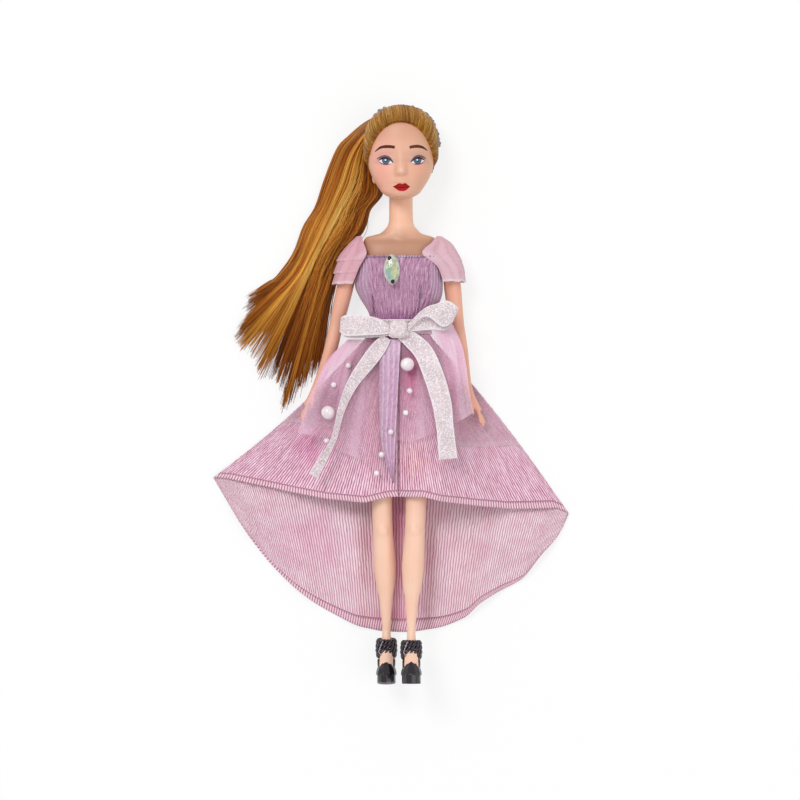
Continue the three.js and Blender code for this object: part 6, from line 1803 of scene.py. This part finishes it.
def build_gem():
    lo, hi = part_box("gem")
    centre = np.array((lo + hi) / 2) / MM
    half = np.array((hi - lo) / 2) / MM
    base = lo[2] / MM
    rings = []
    for scale, rise, facets in GEM_RINGS:
        angle = 2 * np.pi * (np.arange(GEM_FACETS) + facets) / GEM_FACETS
        along = np.sin(angle)
        x = centre[0] + scale * half[0] * np.cos(angle) * (1 - 0.16 * along * along)
        y = centre[1] + scale * half[1] * along
        rings.append(np.stack([x, y, np.full_like(x, base + rise)], -1))
    verts, faces = outward(ring_mesh(rings))
    off = (verts - centre) / half
    # Painted glints: teal and yellow-green over the lower part of the stone; paler towards the rim.
    glow = smooth(0.5 - off[:, 1:2] * 0.8)
    lower = mix(rgb_array(84, 186, 190), rgb_array(186, 200, 84), smooth(0.5 + off[:, :1]))
    tone = mix(rgb_array(206, 208, 170), lower, glow)
    tone = mix(tone, rgb_array(206, 208, 204), smooth((np.hypot(off[:, :1], off[:, 1:2]) - 0.72) * 6))
    gem = mesh_object("gem_stone", verts, faces, gem_look, tone=tone, shade=False)
    settle(gem, "torso", "gem_facets", "gem")
    places = [(centre[0] + dx, centre[1] + dy, base + 1.9) for dx, dy in GEM_HOLES]
    # Dark balls of painted shade inside the sewing holes.
    holes = joined([ball(place, (1.0, 1.15, 0.85), 20) for place in places])
    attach(mesh_object("gem_hole_shade_balls", *holes, gem_hole_shade_look), "torso")


# Section of a sleeve from the back over the arm to its inner side: shares of half width and half depth
SLEEVE_SECTION = [(-0.66, -0.86), (0.1, -0.98), (0.8, -0.6), (1, 0.08), (0.64, 0.78), (-0.06, 1),
                  (-0.84, 1.24)]
# Levels of each sleeve: height along the body, inner and outer edge seen from the front, half depth
SLEEVE_LEVELS = {
    "right": [[81.8, -20.4, -22.6, 3.4], [78.4, -19.4, -26, 5.9], [73, -17.8, -30.3, 7.2],
              [66, -21.4, -32.5, 7.2], [57.8, -25, -34, 6.8]],
    "left": [[81.8, 17.6, 19.8, 3.4], [78.4, 15, 24.4, 5.9], [73, 10.2, 27.8, 7.7], [66, 18, 30.4, 7.5],
             [59, 21, 31.4, 6.8]],
}


# How far the layers of each sleeve step out, and how much paler its net is; the left sleeve's paleness is
# painted light shining through its net
SLEEVE_STEP = {-1: 0.9, 1: 0.25}
SLEEVE_PALENESS = {-1: 0.0, 1: 0.25}


def build_sleeve(side):
    name = SIDE_NAMES[side]
    columns, rows = 150, 80
    u, v = unit_grid(columns, rows)
    across, out = np.moveaxis(rounded(SLEEVE_SECTION, u), -1, 0)
    y, inner, outer, depth = np.moveaxis(through(np.linspace(0, 1, 5), SLEEVE_LEVELS[name], v), -1, 0)
    fine = 0.12 * np.sin(u * 40 + 4 * v + 2 * np.sin(u * 9)) * smooth(v * 4)
    gathers = fine + 0.12 * np.cos(u * np.pi * 8) * v
    share = (across + 0.84) / 1.84
    outer_side = smooth(across * 2)
    layer = np.clip(v * 5 - 2.2, 0, 2.8)
    step = (layer - np.floor(layer)) * SLEEVE_STEP[side]
    x = mix(inner, outer, share) + side * ((0.3 + gathers) * across + step * outer_side)
    z = SHOULDER_Z + out * (depth + 0.3 + gathers + 0.5 * step)
    z = z + 2.0 * smooth((0.5 - share) / 0.5) * bell(y - 72.5, 5) * (out > 0)
    y = y + 0.18 * np.sin(u * 31) * smooth((v - 0.8) * 5)
    fold = bell(v - 0.5 - 0.25 * share, 0.05) * smooth((0.55 - share) * 4)
    rim = smooth((v - 0.94) * 30) + 0.7 * smooth((step - 0.7) * 8) * outer_side
    cover = 0.12 + 0.08 * np.sin(u * 40 + 4 * v)
    # The left sleeve's extra paleness is painted light shining through its net.
    pale = 0.4 * rim + SLEEVE_PALENESS[side] + 0.3 * fold
    tone = np.stack([cover, pale, 0.12 * (1 - v)], -1).reshape(-1, 3)
    sleeve = sheet_object(f"sleeve_{name}_net", np.stack([x, y, z], -1), sleeve_look, tone=tone)
    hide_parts(f"sleeve_{name}")
    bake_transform(sleeve)


# The ankle cuff: top, height, half sizes, narrowing at both ends, and how far back its top lies
CUFF_TOP, CUFF_HEIGHT = -127.5, 9.0
CUFF_HALF_X, CUFF_HALF_Z = 4.35, 5.5
CUFF_NARROWING, CUFF_BACK = 0.16, 2.4
CORD_RADIUS, CORD_ROWS, CORD_CROSSINGS = 0.6, 4, 8
# Turn about the cuff and drop below its top of the painted highlight along the crossed straps
STRAP_HIGHLIGHT_PLACES = [(1.95, 0.6), (2.3, 5.4), (2.32, 6.0), (1.68, 8.7)]


def cuff_point(side, around, drop, out):
    """A place on the rounded ankle cuff: turn about its axis, drop below its top, distance off its skin."""
    barrel = 1 - CUFF_NARROWING * np.abs(2 * drop / CUFF_HEIGHT - 1) ** 3
    x = side * ANKLE_X + (CUFF_HALF_X * barrel + out) * np.cos(around)
    middle_z = CUFF_BACK * ((drop / CUFF_HEIGHT) ** 2 - 1)
    z = middle_z + (CUFF_HALF_Z * barrel + out) * np.sin(around)
    return hip_place(np.stack([x, CUFF_TOP - drop, z], -1), side)


def cuff_cords(side):
    """Braided cords round the cuff: rows of crossing waves."""
    around = np.linspace(0, 2 * np.pi, 150)
    paths = []
    for row, middle in enumerate(np.linspace(1.1, CUFF_HEIGHT - 1.1, CORD_ROWS)):
        for phase in (0, np.pi):
            turn = around * CORD_CROSSINGS + phase + row * np.pi / 2
            paths.append(cuff_point(side, around, middle + 0.95 * np.sin(turn), 0.2 + 0.45 * np.cos(turn)))
    return tubes(paths, CORD_RADIUS, 8, 1.0)[:2]


def strap_highlight_cords(side):
    """A painted highlight: a pale cord along the edge of the crossed straps on the front of the cuff."""
    places = rounded(STRAP_HIGHLIGHT_PLACES, np.linspace(0, 1, 24))
    line = cuff_point(side, places[:, 0], places[:, 1], 1.15)
    return tubes([line], 0.22, 8, 1.0)[:2]


def round_cuff(shoe, side):
    """Draws the cuff of the shoe in towards its rim and its lower edge."""
    turn = LEFT_RAISE if side > 0 else 0.0
    level = Matrix.Rotation(turn, 4, "X") @ Matrix.Translation(Vector((-HIP_X, -HIP_Y, -BODY_Z)) * MM)
    back = level.inverted()
    world = shoe.matrix_world
    for v in shoe.data.vertices:
        p = level @ (world @ v.co)
        drop = CUFF_TOP - p.y / MM
        if -0.6 < drop < CUFF_HEIGHT + 0.4:
            share = 1 - CUFF_NARROWING * (1 + abs(2 * drop / CUFF_HEIGHT - 1) ** 3)
            middle_x = side * ANKLE_X * MM
            p.x = middle_x + (p.x - middle_x) * share
        v.co = world.inverted() @ (back @ p)


def build_shoes():
    # The pale cord along the crossed straps is a painted highlight.
    strap_highlight = paint_look("strap_painted_highlight", rgb(176, 160, 172), 0.2)
    for side in (-1, 1):
        name = SIDE_NAMES[side]
        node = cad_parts[f"shoe_{name}"]
        mesh = node.data.copy()
        shoe = bpy.data.objects.new(f"sandal_{name}", mesh)
        bpy.context.collection.objects.link(shoe)
        shoe.matrix_world = node.matrix_world
        mesh.materials.clear()
        mesh.materials.append(shoe_look.material)
        melt(shoe, 0.3, 3)
        round_cuff(shoe, side)
        heights = np.array([(shoe.matrix_world @ v.co).y for v in shoe.data.vertices]) / MM
        # Greyer along the lowest edge of the sole.
        lower_sole_grey = smooth((heights.min() + 1.3 - heights) / 0.4)
        tone = shoe.data.color_attributes.new("tone", "FLOAT_COLOR", "POINT")
        tone.data.foreach_set("color", np.repeat(lower_sole_grey, 4))
        settle(shoe, f"leg_{name}", "shoe_black", f"shoe_{name}")
        for part, shape, look in (("cords", cuff_cords, cord_look), ("strap_highlight", strap_highlight_cords, strap_highlight)):
            extra = mesh_object(f"sandal_{name}_{part}", *shape(side), look)
            settle(extra, f"leg_{name}", "shoe_black")


def build_tapes():
    for name in ("closure_loop_strip", "closure_hook_strip"):
        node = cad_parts[name]
        node.data.materials.clear()
        node.data.materials.append(tape_look.material)


# Stage


SENSOR_WIDTH = 36
FLOOR_Z, FLOOR_HALF, FLOOR_COLOUR = -0.4, 3000, 0.95
# Share of plain white that the camera, reflections and transmission see on the floor
FLOOR_WHITE = 0.75
WORLD_STRENGTH = 0.62
# Lamps: name, place and size in metres, and power in watts
LAMPS = (("key", (-0.9, 1.1, 2.2), 1.0, 26.0), ("fill", (1.3, -0.5, 2.0), 1.8, 11.0))


def build_camera():
    scene = bpy.context.scene
    camera = bpy.data.objects.new("camera", bpy.data.cameras.new("camera"))
    camera.location = (CAMERA_X * MM, 0, (PLANE_Z + CAMERA_RISE) * MM)
    camera.data.lens = SENSOR_WIDTH * CAMERA_RISE / (2 * IMAGE_HALF * PIXEL)
    camera.data.clip_start = 0.01
    scene.collection.objects.link(camera)
    scene.camera = camera
    scene.view_settings.view_transform = "Standard"


def build_floor():
    """A pale floor that keeps the shadow and shows mostly plain white to the camera and to reflections."""
    corners = [(x * FLOOR_HALF, y * FLOOR_HALF, FLOOR_Z) for x, y in ((-1, -1), (1, -1), (1, 1), (-1, 1))]
    floor = mesh_object("floor", corners, [(0, 1, 2, 3)])
    material = bpy.data.materials.new("floor_white")
    material.use_nodes = True
    tree = material.node_tree
    tree.nodes.clear()
    out = tree.nodes.new("ShaderNodeOutputMaterial")
    diffuse = tree.nodes.new("ShaderNodeBsdfDiffuse")
    diffuse.inputs["Color"].default_value = (FLOOR_COLOUR, FLOOR_COLOUR, FLOOR_COLOUR, 1)
    plain = tree.nodes.new("ShaderNodeEmission")
    rays = tree.nodes.new("ShaderNodeLightPath")
    seen = rays.outputs["Is Camera Ray"]
    for label in ("Is Glossy Ray", "Is Transmission Ray"):
        either = tree.nodes.new("ShaderNodeMath")
        either.operation = "MAXIMUM"
        tree.links.new(seen, either.inputs[0])
        tree.links.new(rays.outputs[label], either.inputs[1])
        seen = either.outputs[0]
    share = tree.nodes.new("ShaderNodeMath")
    share.operation = "MULTIPLY"
    tree.links.new(seen, share.inputs[0])
    share.inputs[1].default_value = FLOOR_WHITE
    both = tree.nodes.new("ShaderNodeMixShader")
    for socket, source in zip(both.inputs, (share, diffuse, plain)):
        tree.links.new(source.outputs[0], socket)
    tree.links.new(both.outputs[0], out.inputs[0])
    floor.data.materials.append(material)


def build_light():
    scene = bpy.context.scene
    scene.world = bpy.data.worlds.new("world")
    scene.world.use_nodes = True
    background = scene.world.node_tree.nodes["Background"]
    background.inputs["Color"].default_value = (1, 1, 1, 1)
    background.inputs["Strength"].default_value = WORLD_STRENGTH
    for label, place, size, power in LAMPS:
        lamp = bpy.data.lights.new(label, "AREA")
        lamp.shape = "DISK"
        lamp.size = size
        lamp.energy = power
        obj = bpy.data.objects.new(label, lamp)
        obj.location = place
        obj.rotation_euler = (-Vector(place)).to_track_quat("-Z", "Y").to_euler()
        scene.collection.objects.link(obj)


build_camera()
build_floor()
build_light()
build_torso()
build_head()
build_scalp()
build_tail()
build_hair_tie()
build_hairband()
for way in (-1, 1):
    build_arm(way)
    build_leg(way)
    build_front_skirt(way)
    build_front_tulle(way)
    build_back_tulle(way)
    build_sleeve(way)
build_shoes()
build_train()
build_centre_panel()
build_bodice()
build_neckline_thread()
build_waist_ribbon()
build_bow()
for tail_side in RIBBON_TAILS:
    build_ribbon_tail(tail_side)
build_pearls()
build_gem()
build_tapes()
